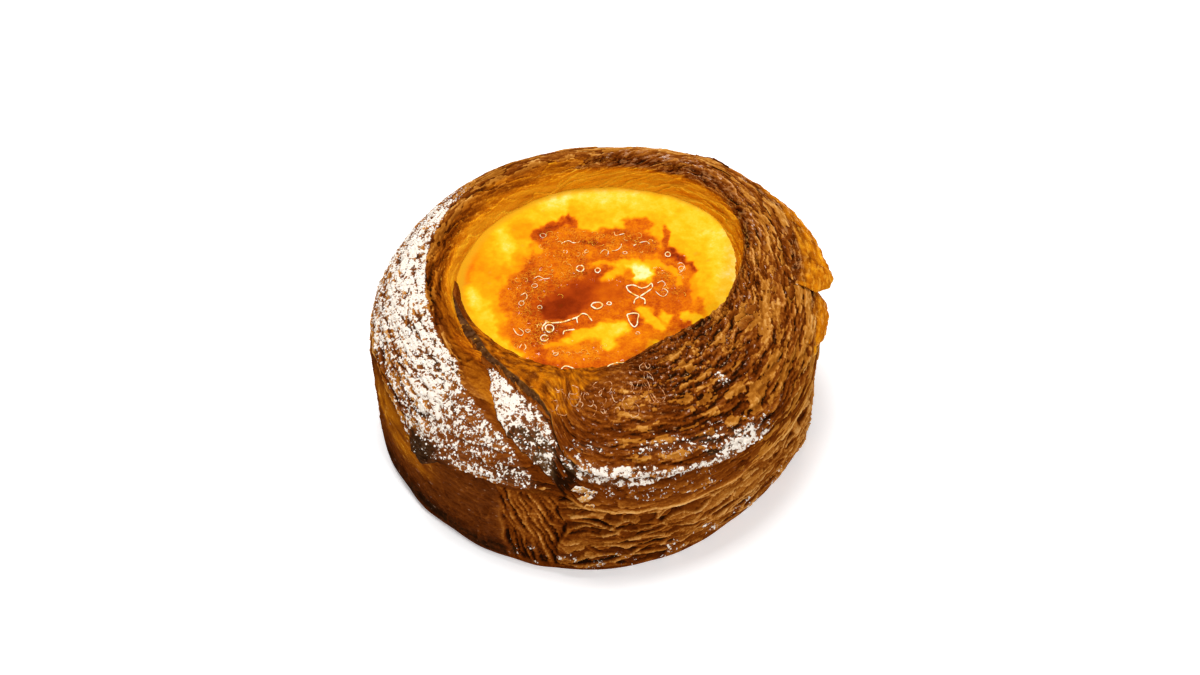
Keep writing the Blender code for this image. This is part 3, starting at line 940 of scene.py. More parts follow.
def crust_material():
    paint = Paint("flaky_crust", Coat_Roughness=0.16, Specular_IOR_Level=0.0)
    u, v = paint.split(paint.place("lie"))[:2]
    sugar = paint.note("sugar")
    # The bake note holds the dough's browning together with its painted light and shade.
    bake = paint.note("bake")
    amber = paint.note("amber")
    broad = paint.noise(paint.join(u * 0.07, v * 0.14, 3.0), detail=2.0)
    streak = paint.noise(paint.join(u * 0.09, v * 0.55, 9.0), detail=3.0, roughness=0.6)
    thin = paint.noise(paint.join(u * 0.7, v * 1.9, 7.0), detail=2.0, roughness=0.6)
    grain = paint.noise(paint.join(u * 2.0, v * 2.6, 11.0), detail=2.0, roughness=0.65)
    streaky = 1 - 0.75 * paint.note("calm")
    blotch = paint.noise(paint.join(u * 0.5, v * 0.6, 31.0), detail=3.0, roughness=0.6)
    tone = bake + 0.35 * (broad - 0.5) + 0.3 * streaky * (thin - 0.5) + 0.36 * (grain - 0.5)
    tone = tone + 0.25 * (1 - streaky) * (blotch - 0.5)
    brown = paint.ramp(tone, CRUST_TONES)
    soft = 0.25 * (1 - streaky)
    bare = paint.note("patch") + 0.7 * streaky * (thin - 0.5) + 0.5 * (grain - 0.5)
    bare = bare.step(0.38 - soft, 0.6 + soft)
    brown = paint.mix(bare, brown, paint.ramp(tone + 0.1, PEELED_TONES))
    gold = paint.ramp(tone + 0.07 + 0.8 * streaky * (streak - 0.5) + 0.15 * amber, AMBER_TONES)
    gold = paint.mix((amber + 1.4 * (streak - 0.5)).step(0.75, 1.3) * 0.7, gold, GOLD)
    colour = paint.mix((amber + 0.7 * streaky * (streak - 0.5)).step(0.05, 0.75), brown, gold)
    edge_tone = (0.6 * blotch + 0.4 * thin).step(0.36, 0.66)
    # The face note paints near black to grey-brown: painted shade on the coil's cut edge, the char of the
    # burnt lump and the bare turned lip, and a painted grey sheen on the left wall.
    colour = paint.mix(paint.note("face") * 0.9, colour, paint.mix(edge_tone, FACE_DARK, FACE_LIGHT))
    spot = paint.spot()
    clump = paint.noise(spot, 0.55, 2.0, 0.6)
    speck = paint.noise(spot, 1.5, 2.0, 0.65)
    loose = 7.5 * (clump - 0.5) + 9.0 * (speck - 0.5) + 1.8 * (bake - 0.5)
    dust = (loose - 1.95 + 3.5 * sugar).step(-0.2, 0.6) * sugar.step(0.02, 0.1)
    haze = (sugar * (0.5 + clump)).step(0.1, 1.0) * 0.24
    colour = paint.mix(haze, colour, SUGAR_HAZE)
    colour = paint.mix(dust, colour, paint.mix(grain, SUGAR_DIM, SUGAR_BRIGHT))
    gloss = 0.55 + 0.4 * (grain - 0.5) + 0.3 * (thin - 0.5)
    roughness = paint.node("ShaderNodeMix", {"data_type": "FLOAT"}, {0: dust, 2: gloss, 3: 0.95})
    glint = paint.noise(paint.join(u * 0.5, v * 1.1, 21.0), detail=3.0, roughness=0.7)
    shine = (glint + 0.45 * paint.note("gloss") - 0.685).step(0.0, 0.1)
    # Painted highlight: under each glint the colour is lightened to a warm brown or amber so the glint reads
    # warm; where no lamp is caught the same spots read as golden flecks.
    fleck = paint.mix(amber.step(0.1, 0.5), GLINT_BROWN, GLINT_AMBER)
    colour = paint.mix(shine * (1 - dust) * 0.55, colour, fleck)
    coat = (0.6 - 0.45 * amber.step(0.1, 0.5)) * shine * (1 - dust)
    height = 0.12 * thin + 0.12 * grain + 0.12 * dust
    return paint.finish(colour, roughness, height, Coat_Weight=coat)


CRUST = crust_material()
for piece in (wall, coil, middle, outer):
    piece.data.materials.append(CRUST)
    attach(piece, "root")
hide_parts("pastry")


# ---- The filling.
FILLING_HEIGHT = 33.55
FILLING_DOME = 0.9
FILLING_REACH = 1.1

# Outlines on the filling, as (x, y) points seen from above.
POOL = (
    (-12.3, -0.3), (-11.4, 2.5), (-8.6, 5.4), (-4.5, 7.0), (-1.8, 9.4), (1.0, 8.6), (5.1, 7.4), (5.7, 5.8),
    (5.1, 2.5), (2.8, 2.1), (0.2, 1.7), (-1.5, 1.3), (-3.3, -1.1), (-6.2, -2.7), (-9.0, -3.9),
    (-12.2, -3.5),
)
# How far the filling is baked, laid on dab over dab from 0 (cream) to 1 (dark caramel):
# (x, y, radius along, radius across, turn in degrees, bake, softness of the edge).
CUSTARD_DABS = (
    (-29.6, -2.4, 0.7, 4.2, 16, 0.02, 0.5), (-28, 14, 7.5, 15, 10, 0.38, 0.5),
    (-31.5, 12, 3.5, 14, 8, 0.48, 0.5), (-22, 31, 8, 5, 40, 0.32, 0.6), (-15, 30, 5, 3, 20, 0.20, 0.6),
    (-9, 35.5, 4.5, 3, 20, 0.07, 0.7), (3, 37.2, 8, 2.6, 0, 0.08, 0.7), (-5.5, 32, 1.8, 2.4, 0, 0.30, 0.7),
    (-1, 28.5, 4.5, 2.5, 0, 0.25, 0.7), (9, 35, 4, 2, -20, 0.10, 0.7), (13.5, 27, 4, 4, 0, 0.23, 0.6),
    (18.5, 21, 2.5, 6, 35, 0.25, 0.6), (24, 15, 2.4, 4, 20, 0.24, 0.6), (25.5, 5, 2.6, 8, 0, 0.25, 0.6),
    (29.5, 16, 3, 11, -5, 0.09, 0.6), (31.8, 9, 1.7, 8, -6, 0.04, 0.6), (26, 27, 3, 6, 30, 0.11, 0.6),
    (29.2, 4, 2, 5, 0, 0.14, 0.6), (-21.2, 19.6, 4.6, 8.5, 8, 0.24, 0.45),
    (-21, 21.5, 2.4, 5, 8, 0.11, 0.6), (-17.4, 13, 2.4, 4, 0, 0.40, 0.6),
    (-17.4, 25, 3, 3.4, 30, 0.37, 0.6), (-20, 10, 5, 2.6, 0, 0.41, 0.6),
    (-20.8, 8.4, 1.0, 1.3, 0, 0.26, 0.6), (-26, 0, 3.8, 9, 8, 0.22, 0.45),
    (-28.4, 3.5, 1.5, 3.6, 20, 0.11, 0.6), (-25, -3, 1.8, 2.6, 0, 0.13, 0.6),
    (-24, -8.5, 2.8, 4, 35, 0.20, 0.5), (-21.6, -10.8, 2.4, 5, 48, 0.18, 0.5),
    (-18.6, -13.8, 1.5, 3.6, 45, 0.17, 0.5), (-25, 6.4, 2.5, 3, 0, 0.31, 0.6),
    (-22.2, 0, 1.5, 4, 0, 0.35, 0.6), (-21.2, -6.6, 1.8, 2.6, 30, 0.45, 0.5),
    (23.0, 30, 2, 4, 40, 0.14, 0.6), (19, 26, 3, 3, 0, 0.17, 0.6),
)
BROWN_DABS = (
    (-8.6, 20.6, 6.6, 6.4, 20, 0.58, 0.16), (-7, 27.6, 2.6, 3, -20, 0.60, 0.2),
    (-11.4, 25, 3, 2.2, 40, 0.62, 0.2), (3, 19.6, 12, 5.6, 0, 0.60, 0.14),
    (9.6, 26.3, 3.6, 3, 20, 0.56, 0.3), (-9, 10, 8, 12, 8, 0.60, 0.16), (-15, 3, 7, 8.4, 10, 0.62, 0.14),
    (-14, -8, 6, 7, 30, 0.58, 0.2), (-10, -17, 7, 6, 0, 0.56, 0.25), (0, 2, 14, 11, 0, 0.60, 0.15),
    (13.6, 6, 8.6, 8.6, 0, 0.60, 0.15), (18.2, 14, 3.6, 5.4, 35, 0.68, 0.2),
    (15.7, 23, 1.2, 3, -5, 0.60, 0.3), (16, -5, 8.6, 5.6, 20, 0.58, 0.2), (6, -13, 15, 6.6, 16, 0.53, 0.2),
    (2, -19, 14, 4, 0, 0.58, 0.4), (23.2, 1.4, 1.6, 2.6, 0, 0.52, 0.4), (-14, 22.6, 1.2, 2.0, 0, 0.70, 0.5),
    (-11.2, 25.8, 2.6, 0.7, 28, 0.78, 0.6), (-8.6, 27.2, 2.2, 0.6, 40, 0.76, 0.6),
    (-6.2, 29.8, 0.7, 1.5, 10, 0.78, 0.6), (-12.6, 23.8, 1.0, 0.9, 0, 0.82, 0.6),
    (-1.6, 20.8, 2.1, 1.0, -6, 0.86, 0.6), (-1.2, 17.4, 0.9, 1.8, 0, 0.45, 0.7),
    (-3, 24, 2.5, 1.2, 0, 0.54, 0.7), (5, 24.4, 3, 1.2, -8, 0.68, 0.7), (9.4, 22.4, 3, 1.8, 0, 0.70, 0.7),
    (5.4, 18.6, 2.4, 2, 0, 0.58, 0.7), (11, 18.6, 2.6, 2, 0, 0.69, 0.7),
    (13.2, 24.4, 1.0, 1.9, -8, 0.30, 0.4), (17.4, 17.6, 1.3, 2.6, 30, 0.82, 0.5),
    (19.6, 15.2, 1.2, 2.4, 35, 0.84, 0.5), (22.4, 13.2, 0.9, 1.8, 15, 0.74, 0.5),
    (15.7, 21, 0.8, 1.8, 0, 0.72, 0.6), (18, 14.2, 1.6, 2.2, 30, 0.66, 0.6),
    (12.6, 15.6, 6, 1.2, -12, 0.52, 0.6), (20.4, 10.6, 1.6, 3.4, 5, 0.50, 0.5),
    (22.2, 6, 0.9, 4.6, -4, 0.36, 0.5), (20.6, 3.6, 1.2, 4, 5, 0.52, 0.6), (-6, 4, 10, 6, 26, 0.70, 0.6),
    (-1, 8, 5, 4, 20, 0.73, 0.6), (-3.2, 12.4, 1.8, 2.6, 0, 0.71, 0.7), (-5, 3, 8.2, 3.6, 30, 0.80, 0.4),
    (-8.6, -0.6, 5.2, 3.2, 18, 0.86, 0.22), (4, 5, 5, 3.4, 0, 0.63, 0.6), (6, 1, 4, 2.4, 0, 0.59, 0.6),
    (3.4, -1.6, 4, 1.8, 0, 0.57, 0.6), (-10.6, -7.4, 3.6, 2.6, 20, 0.79, 0.5),
    (-7, -7.8, 2.2, 1.8, 0, 0.72, 0.6), (-13.6, -8.6, 1.6, 4, 0, 0.70, 0.7),
    (-12.6, -14, 1.5, 4, 10, 0.69, 0.7), (-10.6, -18, 3, 2, 0, 0.74, 0.7), (-15.4, 9, 1.4, 4, 0, 0.71, 0.7),
    (-16.6, 4, 2, 3.4, 0, 0.69, 0.7), (-16, -2.6, 2.4, 2.6, 0, 0.68, 0.7), (-20.4, 3, 1.4, 3, 0, 0.54, 0.6),
    (-18.6, -5, 2.4, 2.4, 20, 0.55, 0.6), (-13, 16, 2, 2, 0, 0.55, 0.7), (-8, 12, 3, 3, 0, 0.56, 0.7),
    (-8.6, -15.4, 2.4, 1.6, 0, 0.50, 0.7), (-3, -15.8, 3, 1.4, 0, 0.51, 0.7),
    (8.4, -3.8, 1.2, 2.4, 10, 0.76, 0.4), (13.4, -2.4, 1.7, 2.2, 10, 0.66, 0.5),
    (15.4, 1.6, 3.4, 2.4, 0, 0.62, 0.6), (18.6, 4.4, 2, 2.4, 0, 0.67, 0.6),
    (20.4, -5, 1.6, 1.2, 0, 0.72, 0.5), (16.6, -6.2, 3, 1.2, -20, 0.64, 0.6),
    (17.4, -8.4, 2.4, 1.2, 20, 0.53, 0.6), (10, -10, 4, 2, 10, 0.50, 0.6),
    (0.6, -16.6, 4, 1.4, 0, 0.60, 0.7), (10.6, -15, 4, 1.6, 20, 0.64, 0.6), (-6, -19, 4, 1.2, 0, 0.66, 0.6),
    (-15.6, 12.4, 1.0, 2.4, 0, 0.66, 0.6), (4.6, 10.8, 4.4, 1.5, 36, 0.26, 0.35),
    (9, 14.2, 4.6, 1.3, -4, 0.22, 0.4), (14.2, 13.6, 3.0, 1.1, -32, 0.30, 0.4),
    (17.4, 11, 1.0, 2.6, 24, 0.33, 0.4), (18.5, 8, 0.9, 1.6, 0, 0.36, 0.5),
    (10.2, 10.8, 3.0, 3.4, 0, 0.10, 0.35), (10.3, 11.2, 2.3, 2.8, 0, 0.0, 0.6),
    (7.2, 10.6, 1.1, 1.6, 0, 0.52, 0.5), (14.2, 10, 1.7, 2.6, 0, 0.60, 0.5),
    (-13.9, 18.6, 1.0, 1.6, 0, 0.34, 0.5), (11.8, -2.6, 1.7, 3.6, 32, 0.20, 0.35),
    (13.8, -5.6, 2.2, 1.2, -20, 0.22, 0.45), (15.6, -3.4, 1.2, 1.6, 10, 0.24, 0.5),
    (21.4, -2.6, 2.4, 1.6, -20, 0.22, 0.3), (22.8, -4.6, 1.4, 2.2, -10, 0.20, 0.4),
    (2.6, -7.6, 4.8, 2.8, 20, 0.17, 0.35), (-3, -8.4, 3.2, 1.7, 16, 0.24, 0.4),
    (2.6, -11, 2.1, 2.0, 0, 0.15, 0.4), (5.6, -6.4, 1.8, 1.5, 0, 0.10, 0.6),
    (3, -4.6, 1.8, 0.9, 0, 0.44, 0.5), (-9.6, -11.6, 2.2, 1.0, 10, 0.37, 0.5),
    (-5.4, -12.6, 1.8, 0.8, 0, 0.42, 0.5), (14, -11.8, 2.1, 1.6, 10, 0.25, 0.4),
    (13.4, -13.4, 1.6, 0.8, 20, 0.31, 0.5),
)
# Where a fine froth of small bubbles has dried on the skin, as (x, y, radius along, radius across, turn).
FROTHY = (
    (-14, 4, 7, 13, 8), (-7, 20, 8.5, 6, 10), (6, 20.5, 9, 4.6, 0), (-14, -8, 5, 5, 30), (17, 9, 3.6, 6, 0),
    (-8, 13, 6, 5, 0), (-4, -14, 7, 2.6, 0),
)
# Bubbles in the syrup as (x, y, radius across, radius deep).
BUBBLES = (
    (-10.7, -6.9, 0.95, 1.1), (-11.8, -9.8, 0.85, 0.95), (-3.9, 12.1, 0.85, 1.0), (0.15, 11.3, 0.65, 0.75),
    (0.0, 0.1, 1.25, 1.0), (2.8, 0.7, 0.5, 0.45), (16.4, 16.7, 0.6, 0.7), (-9.2, -14.5, 0.6, 0.4),
    (-15.6, -7.4, 0.55, 0.45), (-12.6, 23.2, 0.7, 0.7),
    (-17.2, 1.2, 0.6, 0.7), (-14.3, 6.6, 0.7, 0.6), (-13.0, -0.2, 0.5, 0.5), (-7.4, 17.6, 0.5, 0.5),
    (-2.4, 17.6, 0.45, 0.45), (6.5, 17.2, 0.5, 0.4), (9.2, -8.2, 0.45, 0.35), (19.6, 12.2, 0.8, 0.8),
)
# Burst bubbles: open rims as (x, y) points.
RIMS = (
    ((-12.2, -7.6), (-12.3, -6.2), (-11.3, -5.1), (-9.6, -5.2), (-7.6, -4.8), (-5.6, -3.9), (-4.4, -3.3),
        (-3.3, -2.3),
     (-2.1, -2.8), (-1.1, -4.7)),
    ((-4.6, -3.4), (-4.4, -5.2)),
    ((-7.6, -8.8), (-7.4, -7.8), (-6.3, -7.3), (-5.0, -7.0)),
    ((6.7, 6.4), (7.2, 5.0), (8.6, 3.7), (9.5, 3.1), (8.7, 2.1), (8.4, 0.9)),
    ((6.7, 6.4), (8.4, 6.8), (10.1, 5.9), (11.6, 6.3), (12.5, 7.3), (12.6, 5.8), (11.0, 4.1), (9.8, 3.0),
        (10.9, 2.1),
     (10.9, 0.7)),
    ((6.8, -2.6), (8.1, -2.2), (9.4, -2.4), (9.2, -4.2), (9.1, -5.5), (8.4, -6.4), (7.4, -4.8), (6.8, -2.6)),
    ((13.4, 4.7), (14.2, 3.7), (15.3, 3.3), (16.2, 4.5), (15.7, 5.5), (14.9, 5.8)),
    ((13.9, 7.4), (14.9, 8.2), (15.7, 7.2), (15.2, 6.3)),
    ((8.5, 19.6), (9.4, 20.4), (11.4, 21.2), (12.2, 20.1)),
    ((0.7, 17.1), (1.6, 18.3), (2.6, 17.9), (2.5, 16.7)),
    ((3.4, 17.9), (4.6, 18.1), (5.5, 19.0), (5.7, 20.2)),
    ((4.0, 24.5), (4.3, 23.2), (5.5, 23.4), (6.4, 23.8)),
    ((-8.0, -18.9), (-7.2, -18.0), (-6.0, -18.1), (-5.0, -18.8), (-4.9, -20.0)),
    ((2.2, -18.9), (2.7, -17.7), (4.2, -16.9), (6.2, -16.8)),
    ((-17.4, -12.4), (-16.6, -11.0), (-15.9, -12.3), (-16.4, -13.2)),
    ((-18.9, -6.4), (-18.1, -8.0), (-17.0, -8.6), (-16.6, -7.6), (-17.8, -6.3)),
    ((18.6, 13.6), (19.4, 14.2), (20.2, 13.2), (19.8, 11.6), (19.0, 10.9)),
    ((-14.6, 8.9), (-13.3, 9.6), (-12.1, 8.7), (-10.7, 8.9)),
    ((-17.5, 3.7), (-16.3, 4.4), (-16.0, 2.9), (-16.9, 1.9)),
    ((-8.3, 20.6), (-6.6, 21.3), (-5.5, 20.5), (-3.9, 20.9)),
)


def outline_distance(x, y, corners):
    """Distance to a closed outline, positive inside."""
    nearest = np.full_like(x, 1e9)
    inside = np.zeros(x.shape, dtype=bool)
    for (ax, ay), (bx, by) in zip(corners, corners[1:] + corners[:1]):
        dx, dy = bx - ax, by - ay
        share = np.clip(((x - ax) * dx + (y - ay) * dy) / (dx * dx + dy * dy), 0, 1)
        nearest = np.minimum(nearest, np.hypot(x - ax - share * dx, y - ay - share * dy))
        crosses = (ay > y) != (by > y)
        if ay != by:
            inside ^= crosses & (x < ax + (y - ay) * dx / dy)
    return np.where(inside, nearest, -nearest)


def dabbed(x, y, dab):
    """How much of a dab lies on each place, 0 to 1."""
    centre_x, centre_y, radius_along, radius_across, turn = dab[:5]
    soft = dab[6]
    cosine, sine = math.cos(turn * DEGREE), math.sin(turn * DEGREE)
    along_dab = ((x - centre_x) * cosine + (y - centre_y) * sine) / radius_along
    across_dab = ((y - centre_y) * cosine - (x - centre_x) * sine) / radius_across
    return smooth((1 + soft - np.hypot(along_dab, across_dab)) / (2 * soft))


def filling_height(x, y):
    """The height of the filling's top before its small bubbles."""
    angle = np.arctan2(y, x) / DEGREE
    share = np.hypot(x, y) / (around(BRIM_RADIUS, angle) + FILLING_REACH)
    height = FILLING_HEIGHT + FILLING_DOME * (1 - share**2) + 0.35 * rough(x / 7, y / 7, 511, 2)
    pool = outline_distance(x, y, POOL)
    height = height - 0.35 * smooth(pool / 2 + 0.5) + 0.45 * rise(share, 0.93, 0.06)
    for centre_x, centre_y, wide, deep in BUBBLES:
        away = ((x - centre_x) / wide) ** 2 + ((y - centre_y) / deep) ** 2
        height = height + 0.3 * np.sqrt(np.clip(1 - away, 0, 1))
    return height


def make_filling(count=296, side_rows=6):
    """The filling as one closed piece whose top carries the baked relief."""
    steps = np.linspace(-1, 1, count + 2 * side_rows)
    a, b = np.meshgrid(steps, steps, indexing="ij")
    size = np.maximum(np.abs(a), np.abs(b))
    wide = np.abs(a) > np.abs(b)
    with np.errstate(divide="ignore", invalid="ignore"):
        near_x = np.pi / 4 * np.where(a != 0, b / a, 0)
        near_y = np.pi / 2 - np.pi / 4 * np.where(b != 0, a / b, 0)
    turn = np.where(wide, near_x, near_y)
    angle = np.where(wide, turn + np.pi * (a < 0), turn + np.pi * (b < 0)) / DEGREE
    rim = 1 - 2 * side_rows / (count + 2 * side_rows - 1)
    outside = np.clip((size - rim) / (1 - rim), 0, 1)
    reach = around(BRIM_RADIUS, angle) + FILLING_REACH
    radius = reach * np.minimum(size / rim, 1)
    x = radius * np.cos(angle * DEGREE)
    y = radius * np.sin(angle * DEGREE)
    share = radius / reach
    warp_x = x + 0.9 * waves(x / 4.2, y / 4.2, 500) + 0.6 * waves(x / 1.7, y / 1.7, 501)
    warp_x = warp_x + 0.3 * waves(x, y, 506)
    warp_y = y + 0.9 * waves(x / 4.2, y / 4.2, 502) + 0.6 * waves(x / 1.7, y / 1.7, 503)
    warp_y = warp_y + 0.3 * waves(x, y, 507)
    toast = 0.17 + 0.05 * waves(x / 3.0, y / 3.0, 508)
    for dab in CUSTARD_DABS:
        toast = toast + (dab[5] - toast) * dabbed(warp_x, warp_y, dab)
    brown = 0 * x
    for dab in BROWN_DABS:
        share_here = dabbed(warp_x, warp_y, dab)
        toast = toast + (dab[5] - toast) * share_here
        brown = brown + (min(1.0, 4 * max(0.0, dab[5] - 0.35)) - brown) * share_here
    pool = outline_distance(x + 0.3 * waves(x / 2, y / 2, 504), y + 0.3 * waves(x / 2, y / 2, 505), POOL)
    pool = np.clip(pool, -3, 3)
    froth = 0 * x
    for patch in FROTHY:
        froth = np.maximum(froth, dabbed(warp_x, warp_y, patch + (1, 0.3)))
    froth = froth * brown * (1 - smooth(pool / 1.5 + 0.9)) * smooth(0.8 + 1.2 * waves(x / 3, y / 3, 520))
    cell_x = x / 1.15 + 0.3 * waves(x / 1.5, y / 1.5, 521)
    cell_y = y / 1.15 + 0.3 * waves(x / 1.5, y / 1.5, 522)
    gap, chance = cells(cell_x, cell_y, 523)[:2]
    height = filling_height(x, y)
    foam = 0.2 * smooth(gap / 0.5) * (0.3 + chance) + 0.12 * rough(x / 0.9, y / 0.9, 510, 2)
    height = height + froth * foam
    height = height + brown * 0.22 * rough(x / 3, y / 3, 512, 2) - 0.15 * brown
    height = height + 0.04 * rough(x / 1.5, y / 1.5, 513, 2)
    height = height + (30.5 - height) * smooth(outside * 1.2)
    pull = 1 - 0.03 * outside
    points = np.stack([x * pull, y * pull, height], axis=-1)
    soft_rim = (1 - smooth(reach * (1 - share) / 3.6)) * within(angle % 360, 62, 196, 26)
    notes = {
        "olive": soft_rim, "toast": toast, "brown": brown, "pool": pool, "froth": froth,
        "gap": np.clip(gap, 0, 1), "edge": reach * (1 - share)}
    return shaped_grid("filling_surface", points, notes, caps=True)


# From pale cream to dark caramel.
FILLING_TONES = (
    (0.0, (0.93, 0.74, 0.32)), (0.06, (0.88, 0.61, 0.11)), (0.12, (0.85, 0.53, 0.03)),
    (0.2, (0.83, 0.44, 0.008)), (0.3, (0.79, 0.33, 0.004)), (0.4, (0.76, 0.255, 0.003)),
    (0.5, (0.68, 0.17, 0.003)), (0.6, (0.575, 0.108, 0.003)), (0.7, (0.45, 0.064, 0.003)),
    (0.8, (0.33, 0.037, 0.003)), (0.9, (0.20, 0.019, 0.002)), (1.0, (0.12, 0.010, 0.001)),
)
# The filling's single colours.
FRECKLE = (0.55, 0.28, 0.02)
FROTH_WALL = (0.95, 0.40, 0.02)
FROTH_CURL = (0.95, 0.42, 0.02)
OLIVE_RIM = (0.62, 0.31, 0.01)
RIM_SHADE = (0.60, 0.27, 0.008)


def filling_material():
    paint = Paint("caramelised_cheese", Coat_Roughness=0.12, Specular_IOR_Level=0.0)
    spot = paint.spot()
    toast = paint.note("toast")
    brown = paint.note("brown")
    pool = paint.note("pool")
    froth = paint.note("froth")
    edge = paint.note("edge")
    wide = paint.noise(spot, 0.3, 3.0, 0.6)
    mottle = paint.noise(spot, 0.7, 4.0, 0.66)
    fleck = paint.noise(spot, 2.4, 3.0, 0.65)
    x, y = paint.split(spot)[:2]
    freckle = paint.noise(paint.join(x * 0.42, y * 0.42, 4.0), 1.0, 2.0, 0.5)
    still = 1 - 0.85 * pool.step(-1.0, 0.4)
    level = toast + 0.02 + (0.22 + 0.06 * brown * still) * (wide - 0.5)
    level = level + (0.24 + 0.24 * brown) * still * (mottle - 0.5)
    level = level + (0.04 + 0.28 * brown + 0.36 * froth) * still * (fleck - 0.5)
    colour = paint.ramp(level, FILLING_TONES)
    colour = paint.mix((freckle - 0.66).step(0.0, 0.08) * (1 - brown) * 0.3, colour, FRECKLE)
    gap = paint.note("gap")
    froth_wall = (1 - (gap + 0.35 * (fleck - 0.5)).step(0.03, 0.16)) * froth
    froth_wall = froth_wall * (mottle * 0.5 + fleck * 0.5 - 0.45).step(0.0, 0.1)
    colour = paint.mix(froth_wall * 0.6, colour, FROTH_WALL)
    curl = paint.node("ShaderNodeTexVoronoi", {"feature": "DISTANCE_TO_EDGE"}, {
        "Vector": paint.join(x + 1.2 * fleck, y + 1.2 * mottle, 0.0), "Scale": 1.05})
    fine = (1 - curl.step(0.02, 0.08)) * froth * (fleck - 0.47).step(0.0, 0.06)
    colour = paint.mix(fine * 0.5, colour, FROTH_CURL)
    olive = (paint.note("olive") + 0.5 * (wide - 0.5)).step(0.05, 0.75)
    colour = paint.mix(olive * 0.85, colour, OLIVE_RIM)
    colour = paint.mix((1 - edge.step(0.0, 1.6)) * 0.4, colour, RIM_SHADE)
    roughness = 0.3 + 0.25 * (fleck - 0.5) - 0.12 * pool.step(-1.0, 1.0)
    height = brown * (0.05 * fleck + 0.06 * mottle) + froth * (0.07 * curl.step(0.0, 0.25) + 0.02 * fleck)
    glint = paint.noise(spot, 0.9, 3.0, 0.7)
    coat = (glint - 0.58).step(0.0, 0.1) * brown * still
    return paint.finish(colour, roughness, height, Coat_Weight=coat)


filling = make_filling()
filling.data.materials.append(filling_material())
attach(filling, "root")
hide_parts("cheese_filling")


def curve_through(corners, closed, spacing=0.3):
    """Evenly dense points on a smooth curve through corners."""
    corners = np.asarray(corners, float)
    count = len(corners)
    pieces = []
    for i in range(count if closed else count - 1):
        if closed:
            picked = [corners[(i + k) % count] for k in (-1, 0, 1, 2)]
        else:
            picked = [corners[min(max(i + k, 0), count - 1)] for k in (-1, 0, 1, 2)]
        steps = max(2, round(float(np.linalg.norm(picked[2] - picked[1])) / spacing))
        share = np.arange(steps)[:, None] / steps
        pieces.append(through(*picked, share))
    if not closed:
        pieces.append(corners[-1:])
    return np.concatenate(pieces)


def tube(name, path, radius, closed, sides=6):
    """A round bead laid along a path of 3-D points, with rounded ends when it is open."""
    ahead = np.roll(path, -1, axis=0) if closed else np.concatenate([path[1:], 2 * path[-1:] - path[-2:-1]])
    behind = np.roll(path, 1, axis=0) if closed else np.concatenate([2 * path[:1] - path[1:2], path[:-1]])
    direction = ahead - behind
    direction = direction / np.linalg.norm(direction, axis=1)[:, None]
    side = np.cross(direction, (0.0, 0.0, 1.0))
    side = side / np.linalg.norm(side, axis=1)[:, None]
    up = np.cross(side, direction)
    turn = np.linspace(0, 2 * math.pi, sides + 1)[None, :, None]
    size = np.full(len(path), radius) * (1 + 0.4 * waves(np.arange(len(path)) / 4.1, path[:, 0], 950))
    if not closed:
        size[0] = size[-1] = 0.3 * radius
    size = size[:, None, None]
    points = path[:, None] + size * (np.cos(turn) * side[:, None] + np.sin(turn) * up[:, None])
    if closed:
        points = np.concatenate([points, points[:1]])
    return shaped_grid(name, points, {}, wrap_rows=True, wrap_columns=closed, caps=not closed)


def joined(name, pieces):
    """One piece made of several."""
    bpy.ops.object.select_all(action="DESELECT")
    for piece in pieces:
        piece.select_set(True)
    bpy.context.view_layer.objects.active = pieces[0]
    bpy.ops.object.join()
    pieces[0].name = name
    pieces[0].data.name = name
    return pieces[0]


def rim_tube(corners, closed, radius):
    """A thin rim that lies on the filling along some (x, y) points."""
    flat = curve_through(corners, closed)
    x, y = flat[:, 0], flat[:, 1]
    height = filling_height(x, y) + 0.03 + 0.09 * waves(x / 1.3, y / 1.3, 951)
    return tube("rim", np.column_stack([flat, height]), radius, closed)


# The first bubbles have a stout rim, and so do these of the open rims.
BOLD_BUBBLES = 7
BOLD_RIMS = (0, 1, 2, 3, 4, 5, 12, 13)


def make_bubbles():
    """The shiny rims of the bubbles in the syrup."""
    rims = []
    for i, (x, y, wide, deep) in enumerate(BUBBLES):
        turn = np.linspace(0, 2 * math.pi, 8, endpoint=False)
        wobble = 1 + 0.12 * waves(turn * 0.7, turn * 0 + i * 3.1, 960)
        corners = np.stack([x + wide * wobble * np.cos(turn), y + deep * wobble * np.sin(turn)], axis=-1)
        rims.append((corners, True, 0.09 + 0.07 * wide if i < BOLD_BUBBLES else 0.06))
    for i, corners in enumerate(RIMS):
        rims.append((corners, False, 0.17 if i in BOLD_RIMS else 0.09))
    return joined("syrup_bubbles", [rim_tube(*rim) for rim in rims])


def make_froth():
    """Small broken rims where the froth has dried on the skin."""
    rims = []
    chance = np.random.default_rng(23)
    for i in range(80):
        patch = FROTHY[i % len(FROTHY)]
        x = patch[0] + patch[2] * chance.uniform(-0.85, 0.85)
        y = patch[1] + patch[3] * chance.uniform(-0.85, 0.85)
        turn = chance.uniform(0, 6.3) + np.linspace(0, chance.uniform(1.6, 4.6), 6)
        size = chance.uniform(0.3, 0.8) * (1 + 0.3 * waves(turn * 0.9, turn * 0 + i * 1.7, 961))
        corners = np.stack([x + size * np.cos(turn), y + size * np.sin(turn)], axis=-1)
        rims.append((corners, False, chance.uniform(0.035, 0.06)))
    return joined("dried_froth", [rim_tube(*rim) for rim in rims])


def bubble_material(name, stops, coat):
    paint = Paint(name, Coat_Weight=coat, Coat_Roughness=0.08, Roughness=0.4, Specular_IOR_Level=0.0)
    spot = paint.spot()
    patchy = paint.noise(spot, 0.9, 2.0, 0.6)
    colour = paint.ramp(patchy, stops)
    return paint.finish(colour, 0.25 + 0.2 * (patchy - 0.5), 0.03 * patchy)


